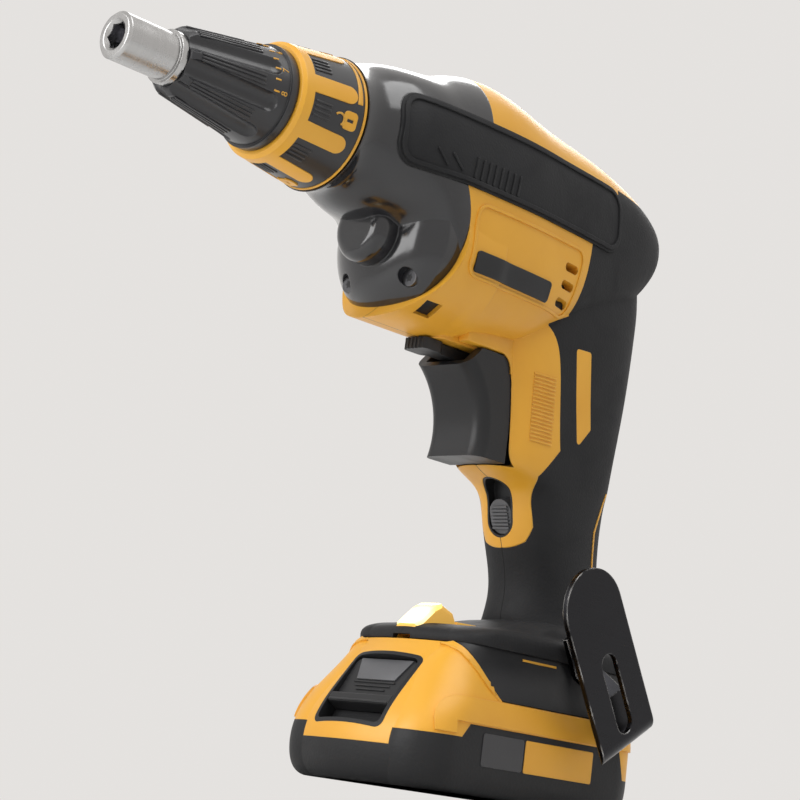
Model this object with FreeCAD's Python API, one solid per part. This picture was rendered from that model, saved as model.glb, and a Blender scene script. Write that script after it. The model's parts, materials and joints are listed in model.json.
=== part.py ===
"""Cordless screw gun with a torque sleeve, a pistol grip and a slide-on battery.

The origin is the centre of the battery's flat base. X points to the nose, Y to the tool's left side
and Z up. Sizes are in millimetres.
"""
import FreeCAD, Part
import math
import os
from FreeCAD import Vector

os.makedirs("parts", exist_ok=True)

# Clearances
gap = 0.3               # between pieces that move past each other
fit = 0.05              # radial, shaft in its hole
reach = 80.0            # how far cutting prisms pass through the tool

# Spindle and gears
spindle_height = 220.0
gear_module = 1.0
pinion_teeth = 12
pressure_angle = 20.0
addendum = 0.95
dedendum = 1.2
gear_teeth = 48
gear_width = 8.0
gear_rim = 4.0
gear_web_depth = 2.5
hub_wall = 4.0
hub_length = 2.0
shaft_room = 1.0
tooth_backlash = 0.24
motor_height = spindle_height - gear_module * (pinion_teeth + gear_teeth) / 2
spindle_radius = 5.5
journal_radius = 4.0
bearing_front_radius = 11.0
bearing_rear_radius = 8.0
bearing_width = 7.0

# Stations along the spindle
neck_front = 110.0
gear_rear = 70.0
chamber_margin = 3.0
chamber_rear = gear_rear - chamber_margin
chamber_front = gear_rear + gear_width + chamber_margin
front_bearing_rear = 97.0

# Nose: tube, lock collar, torque sleeve, socket
neck_radius = 24.4
tube_radius = 12.0
tube_wall = 2.0
tube_length = 46.0
collar_length = 27.0
collar_rear_radius = 24.0
collar_front_radius = 20.8
collar_edge = 1.3
collar_bevel = 0.5
collar_crown = 1.2
collar_rim = 4.6
collar_skin = 2.2
collar_ribs = 8
collar_phase = 12.0
pad_drop = 0.3
rib_width = 6.4
rib_rear = 6.5
sleeve_length = 40.5
sleeve_rear_radius = 18.4
sleeve_front_radius = 11.6
sleeve_shoulder = 3.0
sleeve_step = 0.9
sleeve_lip = 2.0
sleeve_lip_drop = 1.2
scallop_start = 7.0
scallops = 8
scallop_radius = 4.2
scallop_depth = 1.5
socket_radius = 8.1
socket_length = 21.0
socket_flats = 8.1
socket_depth = 11.0
socket_chamfer = 0.9
lead_depth = 1.2
lead_flare = 1.4
socket_slot_length = 7.0
socket_slot_width = 1.6
socket_slot_depth = 2.0
socket_slot_set_back = 9.5
socket_slot_angle = -30.0
flange_radius = 9.3
flange_width = 2.4
shank_flats = 6.35
shank_length = 18.0
shank_radius = 6.8

# Torque clutch inside the nose tube
clutch_plate_width = 5.0
clutch_balls = 4
ball_pocket_radius = 1.2
ball_pocket_depth = 1.5
spring_discs = 7
disc_pitch = 3.0
disc_thickness = 1.4
nut_length = 6.0
nut_travel = 4.0
nut_key_width = 5.0
nut_key_length = 3.0
nut_key_reach = 1.3

# Motor
stator_radius = 22.0
stator_rear = 20.0
stator_length = 30.0
stator_slots = 9
stator_slot_width = 5.0
stator_yoke = 4.0
rotor_radius = 11.5
air_gap = 0.6
motor_shaft_radius = 2.5
motor_bearing_radius = 6.5
motor_bearing_width = 5.0
motor_bearing_set = 10.0
motor_tail = 11.0
fan_radius = 20.0
fan_width = 6.0
fan_blades = 11
fan_disc = 1.5
fan_hub_wall = 3.0
fan_blade = 1.2
fan_blade_lean = 22.0
fan_eye = 4.0
fan_edge = 1.5
fan_gap = 2.0

# Head: sections along X as station, underside, top, half width, fullness
head_sections = (
    (neck_front, spindle_height - neck_radius, spindle_height + neck_radius, neck_radius, 2.0),
    (97.0, 194.6, 246.5, 25.4, 2.0),
    (84.0, 192.0, 249.0, 28.6, 2.2),
    (73.0, 187.0, 250.0, 30.0, 2.4),
    (62.0, 170.0, 253.2, 30.8, 2.6),
    (50.0, 161.2, 256.0, 31.0, 2.7),
    (36.0, 161.2, 256.0, 31.0, 2.7),
    (18.0, 163.5, 252.8, 30.0, 2.7),
    (0.0, 169.0, 250.4, 28.2, 2.6),
    (-34.0, 184.0, 246.0, 23.5, 2.4),
    (-60.0, 200.0, 238.5, 17.0, 2.2),
    (-72.0, 212.0, 232.0, 8.5, 2.0),
)
# Handle: sections up Z as height, front, widest line, back, half width, fullness
handle_sections = (
    (222.0, -14.0, -36.0, -64.0, 9.0, 2.2),
    (206.0, -8.0, -34.0, -65.5, 15.0, 2.3),
    (188.0, 8.0, -28.0, -64.0, 19.5, 2.4),
    (170.0, 19.5, -20.0, -62.5, 20.0, 2.7),
    (150.0, 15.5, -16.0, -60.0, 19.0, 3.2),
    (129.0, 12.8, -17.0, -57.5, 18.6, 3.2),
    (121.0, 10.5, -19.0, -57.2, 18.2, 3.0),
    (115.5, -1.2, -22.0, -57.0, 17.8, 2.7),
    (104.0, -6.4, -26.0, -57.5, 17.2, 2.4),
    (90.0, -11.4, -30.0, -58.6, 17.0, 2.3),
    (76.0, -14.6, -33.0, -60.0, 17.2, 2.3),
    (66.0, -14.6, -34.0, -61.0, 19.5, 2.4),
    (57.0, -8.0, -31.0, -61.4, 26.0, 3.0),
)
section_points = 16

# Battery, from its base up: height, front, back, half width, corner radius, bow of the front
battery_height = 51.7
slope_top_x = 42.4
slope_top_z = 46.5
slope_bottom_x = 60.6
slope_bottom_z = 18.0
battery_sections = (
    (0.0, 55.0, -58.0, 33.5, 15.0, 3.0),
    (3.5, 59.6, -61.2, 36.6, 16.0, 3.5),
    (9.0, 61.0, -62.0, 37.5, 16.0, 3.5),
    (slope_bottom_z, slope_bottom_x, -62.0, 37.5, 16.0, 3.5),
    (27.0, 56.4, -61.8, 37.2, 16.0, 3.5),
    (36.0, 50.4, -61.4, 34.6, 16.0, 3.5),
    (slope_top_z, slope_top_x, -61.0, 30.4, 13.0, 3.5),
    (battery_height, 37.6, -60.8, 29.6, 11.0, 3.5),
)
foot_bottom = battery_height + gap
foot_sections = (
    (foot_bottom, 37.0, -62.0, 30.4, 11.0, 3.5),
    (55.5, 36.4, -62.0, 30.2, 11.0, 3.5),
    (58.2, 31.0, -61.8, 29.0, 12.0, 3.5),
    (61.5, 4.0, -61.0, 25.0, 12.5, 3.0),
    (66.5, -15.5, -59.0, 19.0, 10.0, 2.0),
)
# Skirts of the foot beside the battery: lower edge, inner face, front edge as (x, z) points
skirt_bottom = 33.6
skirt_inner = 23.5
skirt_front = ((33.5, foot_bottom), (29.5, 46.5), (24.5, 39.5), (19.0, skirt_bottom))

# Line between the yellow housing and the black gear case
split_centre_x = 98.0
split_centre_z = 191.0
split_radius = 38.0
split_middle_angle = 40.0
split_top_x = 53.0
split_step_z = 209.0
rim_radius = 30.6
dome_radius = 27.8
dome_front = 76.0
dome_shoulder = 67.5
dome_swell_run = 0.72     # share of the dome's depth where its curve is set
dome_swell_rise = 0.76    # share of its radius there
boss_radius = 12.0
boss_front = 86.5
boss_round = 4.8

# Rubber
rubber_wall = 2.0
panel_rear = -28.0
panel_front = 96.0
panel_bottom = 208.5
panel_top = 235.0
panel_corner = 8.0
panel_proud = 0.7
panel_wall = 2.4
palm_front = -10.0
palm_bottom = 181.0
flank_line = ((0.5, 175.5), (-5.9, 168.8), (-8.6, 161.8), (-12.0, 146.0), (-15.2, 130.4))
tongue_line = ((-6.3, 119.0), (-9.0, 110.5), (-12.0, 101.0), (-11.8, 95.5), (-9.0, 91.0))
window_corners = ((-16.2, 170.0), (-24.8, 170.4), (-31.2, 141.8), (-24.4, 133.6))
window_round = 1.2

# Trigger, direction lever, lock slider
trigger_half_width = 13.6
trigger_bottom = 120.6
trigger_top = 154.2
trigger_rear = 9.0
trigger_front = 35.0
trigger_foot_front = 25.0
trigger_round = 5.0
trigger_brow = 2.0
trigger_hollow = 1.0
trigger_hollow_drop = 3.0
trigger_travel = 6.5
shoulder_top = 159.6
shoulder_front = 28.0
shoulder_inner = 9.6
opening_rear = 10.8
opening_corner = 6.0
opening_crown = 12.0
plunger_radius = 3.0
plunger_height = 145.0
plunger_length = 16.0
lever_thickness = 4.2
lever_pivot_x = 16.0
lever_pin_radius = 2.0
lever_pin_length = 6.0
lever_boss_radius = 6.0
lever_arm_width = 7.0
lever_tip_rear = 39.5
lever_tip_front = 50.5
lever_tip_width = 11.0
lever_tip_round = 2.5
lever_groove_radius = 0.7
lever_ridges = 5
lever_slot_half_width = 15.0
deck_rear = 8.0
deck_front = 46.0
deck_half_width = 9.0
deck_corner = 4.0
deck_top = 170.0
slider_tilt = 20.0
slot_bottom_x = -9.2
slot_bottom_z = 96.6
slot_length = 23.5
slot_width = 12.6
slot_depth = 6.0
bed_wall = 0.8
slider_length = 13.2
slider_ridges = 7
slider_sink = 1.0
ridge_margin = 1.2
ridge_ends = 4.0
ridge_share = 0.6
ridge_height = 0.9

# Switch and electronics
switch_front = 0.5
switch_length = 27.0
switch_height = 33.0
switch_half_width = 10.5
switch_round = 2.0
plunger_room = 2.0
switch_bottom = 122.0
module_front = -19.0
module_length = 26.0
module_bottom = 72.0
module_height = 40.0
module_half_width = 9.0
module_fins = 5
module_fin_depth = 3.0

# Battery rails, contacts and latch
tongue_rear = -58.0
tongue_front = 6.0
tongue_neck = 14.0
tongue_flange = 19.0
tongue_depth = 9.0
tongue_lip = 4.5
rail_gap = 0.4
channel_front = 24.0
block_length = 6.0
block_lift = 0.5
block_round = 1.5
blade_count = 5
blade_pitch = 6.3
blade_thickness = 0.8
blade_length = 8.0
blade_height = 5.0
clip_wall = 0.8
cell_radius = 9.1
cell_length = 65.0
cell_cap = 2.0
cell_cap_radius = 4.1
cell_count = 5
cell_pitch = 18.9
cell_centre_x = -2.0
cell_wall = 3.6
holder_wall = 3.0
holder_spread = 24.0
holder_rim = 1.4
board_thickness = 1.6
board_length = 70.0
board_width = 44.0
board_lift = 3.0
board_pad = 6.0
board_pad_inset = 8.0
board_pad_spread = 19.2
board_headroom = 3.0
cell_room = 1.0
latch_top_s = 2.0
latch_bottom_s = 23.0
latch_depth = 2.4
latch_thickness = 3.2
latch_half_width = 14.8
latch_lip = 4.0
latch_lip_depth = 0.2
latch_lip_round = 0.8
latch_travel = 4.0
recess_top_s = 0.0
recess_bottom_s = 32.5
recess_depth = 6.4
recess_corner = 3.0
tray_wall = 1.6
tray_floor = 1.0
catch_half_width = 4.0
catch_rear = 25.4
catch_front = 29.0
catch_rise = 1.2
arm_thickness = 2.0

# Lower case of the battery: front edge, raised sides
rim_front_z = 13.4
rim_corner_z = 19.0
rim_corner_y = 21.0
rim_side_z = 23.8
rim_side_front = 30.0
rim_side_rear = -46.0

# Lamp on the foot
lamp_front = 35.5
lamp_rear = 14.5
lamp_top = 66.6
lamp_half_width = 5.2
lamp_base = 55.0
lamp_sill = 2.0
lamp_brow_run = 8.0
lamp_brow_drop = 2.2
lamp_crown_run = 9.0
lamp_back_run = 2.0
lamp_back_drop = 2.5
lamp_back_sill = 6.1
lamp_round = 2.0
lens_depth = 4.0
lens_side = 1.2
lens_lift = 0.5
lens_brow = 0.8
lamp_board_drop = 4.0
fin_rear = -17.0
fin_rise = 6.9
fin_wall = 1.5

# Belt hook: outer leaf in its own frame, turned about Y
hook_tilt = 33.0
hook_corner_x = -23.5
hook_corner_z = 15.5
hook_width = 31.0
hook_length = 70.0
hook_thickness = 2.0
hook_outer_y = 49.0
hook_inner_y = 40.0
hook_strip = 12.0
hook_strip_rear = 2.0
hook_jog_bottom = 17.0
hook_pad_top = 42.0
hook_bend_s = 6.0
hook_slot_width = 8.5
hook_slot_bottom = 11.5
hook_slot_top = 33.5
hook_screw_s = 35.0
hook_screw_head = 4.2
hook_screw_rise = 1.8
hook_screw_radius = 2.0
hook_screw_length = 12.0

# Screws
case_screw_head = 3.2
case_screw_rise = 2.2
case_screw_radius = 1.5
case_screw_length = 24.0
case_screw_places = ((32.0, 248.0, 17.0), (5.0, 166.0, 14.0), (-40.0, 214.0, 15.0), (-36.0, 117.0, 11.0),
                     (-50.0, 63.0, 15.0))
gear_screw_circle = 22.0
gear_screw_angles = (226.5, 313.5)
gear_screw_length = 16.0
gear_screw_seat = 69.5
battery_screw_seat = 2.5
battery_screw_length = 17.0
battery_screw_places = ((49.0, 14.0), (49.0, -14.0), (-53.5, 20.0), (-53.5, -20.0))

# Air slots on each side of the head
vent_count = 3
vent_pitch = 6.6
vent_bottom = 181.0
vent_height = 3.2
vent_rear = -3.5
vent_front = 5.0
vent_floor = 21.0
rim_slot_rear = 58.5
rim_slot_front = 66.5
rim_slot_width = 7.6
rim_slot_depth = 2.2
rim_slot_angle = 34.0

AXIS_X = Vector(1, 0, 0)
AXIS_Y = Vector(0, 1, 0)
AXIS_Z = Vector(0, 0, 1)


def signed_power(value, power):
    """A power that keeps the sign of its base."""
    return math.copysign(abs(value) ** power, value)


def egg(centre, u, v, front, back, half, fullness):
    """Closed smooth outline round a centre: unequal reach along u, equal reach along v."""
    points = []
    for k in range(section_points):
        angle = 2 * math.pi * k / section_points
        along = signed_power(math.cos(angle), 2 / fullness)
        across = signed_power(math.sin(angle), 2 / fullness)
        points.append(centre + u * (along * (front if along > 0 else back)) + v * (across * half))
    curve = Part.BSplineCurve()
    curve.interpolate(Points=points, PeriodicFlag=True)
    return Part.Wire(curve.toShape())


def loft(wires):
    """A closed solid through outlines."""
    return Part.makeLoft(wires, True, False)


def cylinder(radius, start, end, y=0.0, z=0.0):
    """A round bar along X."""
    return Part.makeCylinder(radius, end - start, Vector(start, y, z), AXIS_X)


def block(x0, x1, half_width, z0, z1):
    """A block that is symmetric about the middle plane."""
    return Part.makeBox(x1 - x0, 2 * half_width, z1 - z0, Vector(x0, -half_width, z0))


def face_xz(points):
    """A flat face in the middle plane from (x, z) corners."""
    corners = [Vector(x, 0, z) for x, z in points]
    return Part.Face(Part.makePolygon(corners + corners[:1]))


def prism_y(face, y0, y1):
    """A face of the middle plane carried from one Y to another."""
    solid = face.extrude(Vector(0, y1 - y0, 0))
    solid.translate(Vector(0, y0, 0))
    return solid


def round_corners(face, radius):
    """The same flat face with every corner rounded."""
    wire = face.OuterWire
    edges = wire.OrderedEdges
    points = [wire.OrderedVertexes[k].Point for k in range(len(edges))]
    parts = []
    count = len(points)
    ends = []
    for k in range(count):
        before = (points[k - 1] - points[k]).normalize()
        after = (points[(k + 1) % count] - points[k]).normalize()
        half = before.getAngle(after) / 2
        set_back = radius / math.tan(half)
        middle = points[k] + (before + after).normalize() * (radius / math.sin(half) - radius)
        ends.append((points[k] + before * set_back, middle, points[k] + after * set_back))
    for k in range(count):
        first, middle, last = ends[k]
        parts.append(Part.Arc(first, middle, last).toShape())
        parts.append(Part.makeLine(last, ends[(k + 1) % count][0]))
    return Part.Face(Part.Wire(parts))


def rounded_section(height, front, back, half, corner, bow):
    """Level outline with round corners and a front that bows forward."""
    side = half - corner
    flank = front - bow
    turn = corner * (1 - math.sqrt(0.5))
    marks = {
        "front": (Vector(flank, -side, height), Vector(front, 0, height), Vector(flank, side, height)),
        "left": (Vector(flank - corner, half, height), Vector(back + corner, half, height)),
        "rear": (Vector(back, side, height), Vector(back, -side, height)),
        "right": (Vector(back + corner, -half, height), Vector(flank - corner, -half, height)),
    }
    edges = [
        Part.Arc(*marks["front"]).toShape(),
        Part.Arc(marks["front"][2], Vector(flank - turn, half - turn, height), marks["left"][0]).toShape(),
        Part.makeLine(*marks["left"]),
        Part.Arc(marks["left"][1], Vector(back + turn, half - turn, height), marks["rear"][0]).toShape(),
        Part.makeLine(*marks["rear"]),
        Part.Arc(marks["rear"][1], Vector(back + turn, turn - half, height), marks["right"][0]).toShape(),
        Part.makeLine(*marks["right"]),
        Part.Arc(marks["right"][1], Vector(flank - turn, turn - half, height), marks["front"][0]).toShape(),
    ]
    return Part.Wire(edges)


def revolve_x(profile, z):
    """A face of (x, radius) corners turned about an axis along X at a height."""
    corners = [Vector(x, 0, z + r) for x, r in profile]
    face = Part.Face(Part.makePolygon(corners + corners[:1]))
    return face.revolve(Vector(0, 0, z), AXIS_X, 360)


def ring(outer, inner, start, end, z):
    """A plain ring about an axis along X."""
    return cylinder(outer, start, end, 0, z).cut(cylinder(inner, start, end, 0, z))


def about_spindle(shape, angle):
    """A copy turned about the spindle's axis."""
    turned = shape.copy()
    turned.rotate(Vector(0, 0, spindle_height), AXIS_X, angle)
    return turned


def hexagon(flats, start, end, z):
    """A six-sided bar along X."""
    corner = flats / math.sqrt(3)
    points = [Vector(start, corner * math.cos(math.radians(60 * k)),
                     z + corner * math.sin(math.radians(60 * k)))
              for k in range(6)]
    return Part.Face(Part.makePolygon(points + points[:1])).extrude(Vector(end - start, 0, 0))


def head_form(grow=0.0):
    """The head from the neck to the rear of the grip, grown by a skin."""
    wires = []
    for station, bottom, top, half, fullness in head_sections:
        middle = Vector(station, 0, (bottom + top) / 2)
        tall = (top - bottom) / 2 + grow
        wires.append(egg(middle, AXIS_Z, AXIS_Y, tall, tall, half + grow, fullness))
    return loft(wires)


def handle_form(grow=0.0):
    """The pistol grip from inside the head down to the foot, grown by a skin."""
    wires = []
    for height, front, widest, back, half, fullness in handle_sections:
        middle = Vector(widest, 0, height)
        wires.append(egg(middle, AXIS_X, AXIS_Y, front - widest + grow, widest - back + grow, half + grow,
                         fullness))
    return loft(wires)


def foot_form(grow=0.0):
    """The foot that the battery slides under, grown by a skin at its sides and top."""
    wires = [rounded_section(height + (grow if k else 0), front + grow, back - grow, half + grow, corner, bow)
             for k, (height, front, back, half, corner, bow) in enumerate(foot_sections)]
    return loft(wires)


def tool_form(grow=0.0):
    """Head, handle and foot as one outer form."""
    return head_form(grow).fuse([handle_form(grow), foot_form(grow)])


def front_region():
    """All that belongs to the gear case: ahead of an arc below and of a straight line on top."""
    top = split_step_z + reach
    low = split_centre_z - split_radius
    arc_top_x = split_centre_x - math.sqrt(split_radius ** 2 - (split_step_z - split_centre_z) ** 2)
    start = Vector(arc_top_x, 0, split_step_z)
    turn = math.radians(split_middle_angle)
    middle = Vector(split_centre_x - split_radius * math.cos(turn), 0,
                    split_centre_z - split_radius * math.sin(turn))
    end = Vector(split_centre_x, 0, low)
    far = Vector(neck_front + reach, 0, low)
    far_top = Vector(neck_front + reach, 0, top)
    back_top = Vector(split_top_x, 0, top)
    back = Vector(split_top_x, 0, split_step_z)
    edges = [Part.Arc(start, middle, end).toShape(), Part.makeLine(end, far), Part.makeLine(far, far_top),
             Part.makeLine(far_top, back_top), Part.makeLine(back_top, back), Part.makeLine(back, start)]
    return prism_y(Part.Face(Part.Wire(edges)), -reach, reach)


def dome_form():
    """Round cover over the motor's front end, with the boss of the motor bearing on it."""
    rear = split_centre_x - split_radius
    drop = dome_front - dome_shoulder
    edge = [Vector(rear, 0, motor_height), Vector(rear, 0, motor_height + dome_radius),
            Vector(dome_shoulder, 0, motor_height + dome_radius)]
    crest = Vector(dome_shoulder + drop * dome_swell_run, 0, motor_height + dome_radius * dome_swell_rise)
    swell = Part.Arc(edge[2], crest, Vector(dome_front, 0, motor_height)).toShape()
    wire = Part.Wire([Part.makeLine(edge[0], edge[1]), Part.makeLine(edge[1], edge[2]), swell,
                      Part.makeLine(Vector(dome_front, 0, motor_height), edge[0])])
    dome = Part.Face(wire).revolve(edge[0], AXIS_X, 360)
    boss = cylinder(boss_radius, rear, boss_front, 0, motor_height)
    boss = boss.makeFillet(boss_round, [e for e in boss.Edges if e.BoundBox.XMin > boss_front - 0.1])
    return dome.fuse(boss)


def tube_bore():
    """The run inside the nose tube and the seats and chambers behind it."""
    chamber = gear_module * (gear_teeth / 2 + 1) + 2 * gap
    pinion_chamber = gear_module * (pinion_teeth / 2 + 1) + 2 * gap
    front = neck_front + tube_length
    cuts = [
        cylinder(tube_radius - tube_wall, neck_front + gap, front, 0, spindle_height),
        cylinder(bearing_front_radius, front_bearing_rear, front_bearing_rear + bearing_width, 0,
                 spindle_height),
        cylinder(spindle_radius + shaft_room, chamber_front, neck_front + 1, 0, spindle_height),
        cylinder(chamber, chamber_rear, chamber_front, 0, spindle_height),
        cylinder(bearing_rear_radius, chamber_rear - bearing_width, chamber_rear, 0, spindle_height),
        cylinder(pinion_chamber, chamber_rear, chamber_front, 0, motor_height),
        cylinder(motor_bearing_radius, chamber_rear - motor_bearing_width, chamber_rear, 0, motor_height),
        cylinder(motor_shaft_radius + shaft_room, split_centre_x - split_radius - 2, chamber_rear, 0,
                 motor_height),
    ]
    return cuts[0].fuse(cuts[1:])


def nut_slots():
    """Two slots in the nose tube for the keys of the spring nut."""
    start = nut_rear() + (nut_length - nut_key_length) / 2 - gap
    length = nut_key_length + nut_travel + 2 * gap
    return Part.makeBox(length, 2 * (tube_radius + 1), nut_key_width + 2 * gap,
                        Vector(start, -tube_radius - 1, spindle_height - nut_key_width / 2 - gap))


def clutch_rear():
    """Rear face of the clutch plate."""
    return neck_front + 2.0


def spring_rear():
    """Where the stack of disc springs starts."""
    return clutch_rear() + clutch_plate_width + gap


def nut_rear():
    """Where the spring nut starts at rest."""
    return spring_rear() + spring_discs * disc_pitch + gap


def collar_front():
    """Front face of the lock collar."""
    return neck_front + gap + collar_length


def sleeve_rear():
    """Rear face of the torque sleeve."""
    return collar_front() + gap


def sleeve_front():
    """Mouth of the torque sleeve."""
    return sleeve_rear() + sleeve_length


def side_prism(x0, x1, z0, z1, corner, side, inner):
    """A prism with round corners through one side of the head, from a distance off the middle plane."""
    face = round_corners(face_xz(((x0, z0), (x1, z0), (x1, z1), (x0, z1))), corner)
    return prism_y(face, inner, reach) if side > 0 else prism_y(face, -reach, -inner)


def panel_prism(side):
    """Outline of the rubber panel on one side of the head."""
    return side_prism(panel_rear, panel_front, panel_bottom, panel_top, panel_corner, side, tube_radius)


def rubber_region():
    """Side view of the rubber on the grip: palm, handle back, lower handle and foot, with a yellow window."""
    low = foot_bottom - 1
    line = [Vector(x, 0, z) for x, z in flank_line]
    curve = Part.BSplineCurve()
    curve.interpolate(Points=line)
    corners = [line[-1]] + [Vector(x, 0, z) for x, z in tongue_line]
    corners += [Vector(reach, 0, corners[-1].z), Vector(reach, 0, low), Vector(-reach - 20, 0, low),
                Vector(-reach - 20, 0, panel_top + 1), Vector(panel_rear - 1, 0, panel_top + 1),
                Vector(panel_rear + panel_corner, 0, panel_bottom + panel_corner),
                Vector(palm_front, 0, panel_bottom + panel_corner),
                Vector(palm_front, 0, palm_bottom), line[0]]
    edges = [curve.toShape()] + [Part.makeLine(a, b) for a, b in zip(corners, corners[1:])]
    region = prism_y(Part.Face(Part.Wire(edges)), -reach, reach)
    window = round_corners(face_xz(window_corners), window_round)
    return region.cut(prism_y(window, -reach, reach))


def lamp_profile():
    """Side view of the lamp hood on the foot, with the fin behind it."""
    return face_xz(((lamp_front, lamp_base), (lamp_front, lamp_base + lamp_sill),
                    (lamp_front - lamp_brow_run, lamp_top - lamp_brow_drop), (lamp_rear + lamp_crown_run,
                                                                              lamp_top),
                    (lamp_rear + lamp_back_run, lamp_top - lamp_back_drop), (lamp_rear,
                                                                             lamp_base + lamp_back_sill),
                    (lamp_rear, lamp_base)))


def lamp_hood_form():
    """Hood over the lamp with a fin that fades into the foot."""
    hood = prism_y(lamp_profile(), -lamp_half_width, lamp_half_width)
    upper = [e for e in hood.Edges if e.BoundBox.YLength < 0.01
             and e.BoundBox.ZMin > lamp_base + lamp_sill - gap]
    hood = hood.makeFillet(lamp_round, upper)
    fin = face_xz(((lamp_rear, lamp_base), (lamp_rear, lamp_base + lamp_back_sill),
                   (fin_rear, lamp_base + fin_rise),
                   (fin_rear, lamp_base)))
    left = prism_y(fin, lamp_half_width - fin_wall, lamp_half_width)
    return hood.fuse([left, mirrored(left)])


def lens_back():
    """Where the upper edge of the lens ends inside the hood."""
    return lamp_front - lamp_brow_run - lens_lift - lens_depth


def lens_form():
    """Clear window in the sloping front of the hood."""
    low = lamp_base + lamp_sill + lens_lift
    high = lamp_top - lamp_brow_drop - lens_brow
    back = lens_back()
    face = face_xz(((lamp_front + 1, low), (back + lens_depth, high), (back, high),
                    (lamp_front - lens_depth, low)))
    half = lamp_half_width - lens_side
    return prism_y(face, -half, half).common(lamp_hood_form())


def lamp_board():
    """Small board behind the lens."""
    x1 = lens_back()
    low = lamp_base + lamp_sill + lens_lift
    return block(x1 - board_thickness, x1, lamp_half_width - lens_side, low, lamp_top - lamp_board_drop)


def trigger_form():
    """Two-finger trigger: hollowed front, shoulders beside the lever, plunger at the back."""
    foot = Vector(trigger_foot_front, 0, trigger_bottom)
    nose = Vector(trigger_front, 0, trigger_top - trigger_brow)
    hollow = Vector(trigger_foot_front - trigger_hollow, 0,
                    (trigger_bottom + trigger_top) / 2 - trigger_hollow_drop)
    rear_low = Vector(trigger_rear, 0, trigger_bottom)
    rear_top = Vector(trigger_rear, 0, shoulder_top)
    shoulder = Vector(shoulder_front, 0, shoulder_top)
    front_top = Vector(trigger_front - trigger_brow, 0, trigger_top)
    edges = [Part.makeLine(rear_low, foot), Part.Arc(foot, hollow, nose).toShape(),
             Part.makeLine(nose, front_top), Part.makeLine(front_top, shoulder),
             Part.makeLine(shoulder, rear_top), Part.makeLine(rear_top, rear_low)]
    body = prism_y(Part.Face(Part.Wire(edges)), -trigger_half_width, trigger_half_width)
    rounded = [e for e in body.Edges if e.BoundBox.YLength < 0.01 and e.BoundBox.ZLength > 20
               and e.BoundBox.XMax > 20]
    body = body.makeFillet(trigger_round, rounded)
    body = body.cut(block(trigger_rear - 1, reach, shoulder_inner, trigger_top, shoulder_top + 1))
    return body.fuse(cylinder(plunger_radius, trigger_rear - plunger_length, trigger_rear + 1, 0,
                              plunger_height))


def lever_bottom():
    """Underside of the direction lever, just above the trigger."""
    return trigger_top + 2 * gap


def direction_lever():
    """Flat lever above the trigger with a ridged tip, on a pin."""
    z = lever_bottom()
    arm = block(lever_pivot_x, lever_tip_rear + 2, lever_arm_width / 2, z, z + lever_thickness)
    boss = Part.makeCylinder(lever_boss_radius, lever_thickness, Vector(lever_pivot_x, 0, z), AXIS_Z)
    tip = block(lever_tip_rear, lever_tip_front, lever_tip_width / 2, z, z + lever_thickness)
    upright = [e for e in tip.Edges if e.BoundBox.ZLength > lever_thickness - 0.1]
    tip = tip.makeFillet(lever_tip_round, upright)
    pitch = lever_tip_width / (lever_ridges + 1)
    for k in range(lever_ridges):
        y = -lever_tip_width / 2 + pitch * (k + 1)
        groove = Part.makeCylinder(lever_groove_radius, lever_thickness, Vector(lever_tip_front, y, z),
                                   AXIS_Z)
        tip = tip.cut(groove)
    pin = Part.makeCylinder(lever_pin_radius, lever_pin_length,
                            Vector(lever_pivot_x, 0, z + lever_thickness), AXIS_Z)
    return arm.fuse([boss, tip, pin]).removeSplitter()


def lever_space():
    """Slot for the lever across the underside of the head, and the hole of its pin."""
    top = lever_bottom() + lever_thickness + gap
    rear = lever_pivot_x - lever_boss_radius - 1
    slot = block(rear, reach, lever_boss_radius + 4 * gap, trigger_top - gap, top)
    slot = slot.fuse(block(lever_pivot_x + 2.0, reach, lever_slot_half_width, trigger_top - gap, top))
    hole = Part.makeCylinder(lever_pin_radius + fit, lever_pin_length + gap,
                             Vector(lever_pivot_x, 0, top - gap), AXIS_Z)
    return slot.fuse(hole)


def lever_deck():
    """Flat block under the head that the lever's pin turns in."""
    bottom = lever_bottom() + lever_thickness + gap
    deck = block(deck_rear, deck_front, deck_half_width, bottom, deck_top)
    return deck.makeFillet(deck_corner, [e for e in deck.Edges if e.BoundBox.ZLength > 1])


def slot_frame(s, t):
    """A point in the middle plane, s up the slot below the trigger and t out of the handle."""
    tilt = math.radians(slider_tilt)
    return Vector(slot_bottom_x + s * math.sin(tilt) + t * math.cos(tilt), 0,
                  slot_bottom_z + s * math.cos(tilt) - t * math.sin(tilt))


def slot_bar(start, end, width, low, high):
    """A bar with round ends along the slot, from one depth to another."""
    tilt = math.radians(slider_tilt)
    out = Vector(math.cos(tilt), 0, -math.sin(tilt))
    radius = width / 2
    base = slot_frame(start + radius, low)
    tip = slot_frame(end - radius, low)
    bar = Part.makeCylinder(radius, high - low, base, out)
    bar = bar.fuse(Part.makeCylinder(radius, high - low, tip, out))
    along = tip - base
    side = AXIS_Y * radius
    corners = [base - side, base + side, tip + side, tip - side]
    middle = Part.Face(Part.makePolygon(corners + corners[:1])).extrude(out * (high - low))
    return bar.fuse(middle).removeSplitter() if along.Length > 0.01 else bar


def slider_slot():
    """The slot that the lock slider runs in."""
    return slot_bar(0, slot_length, slot_width, -slot_depth, reach / 4)


def slider_bed():
    """Black cup that lines the slot."""
    cup = slider_slot().common(handle_form())
    inside = slot_bar(bed_wall, slot_length - bed_wall, slot_width - 2 * bed_wall, bed_wall - slot_depth,
                      reach / 2)
    return cup.cut(inside)


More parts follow.
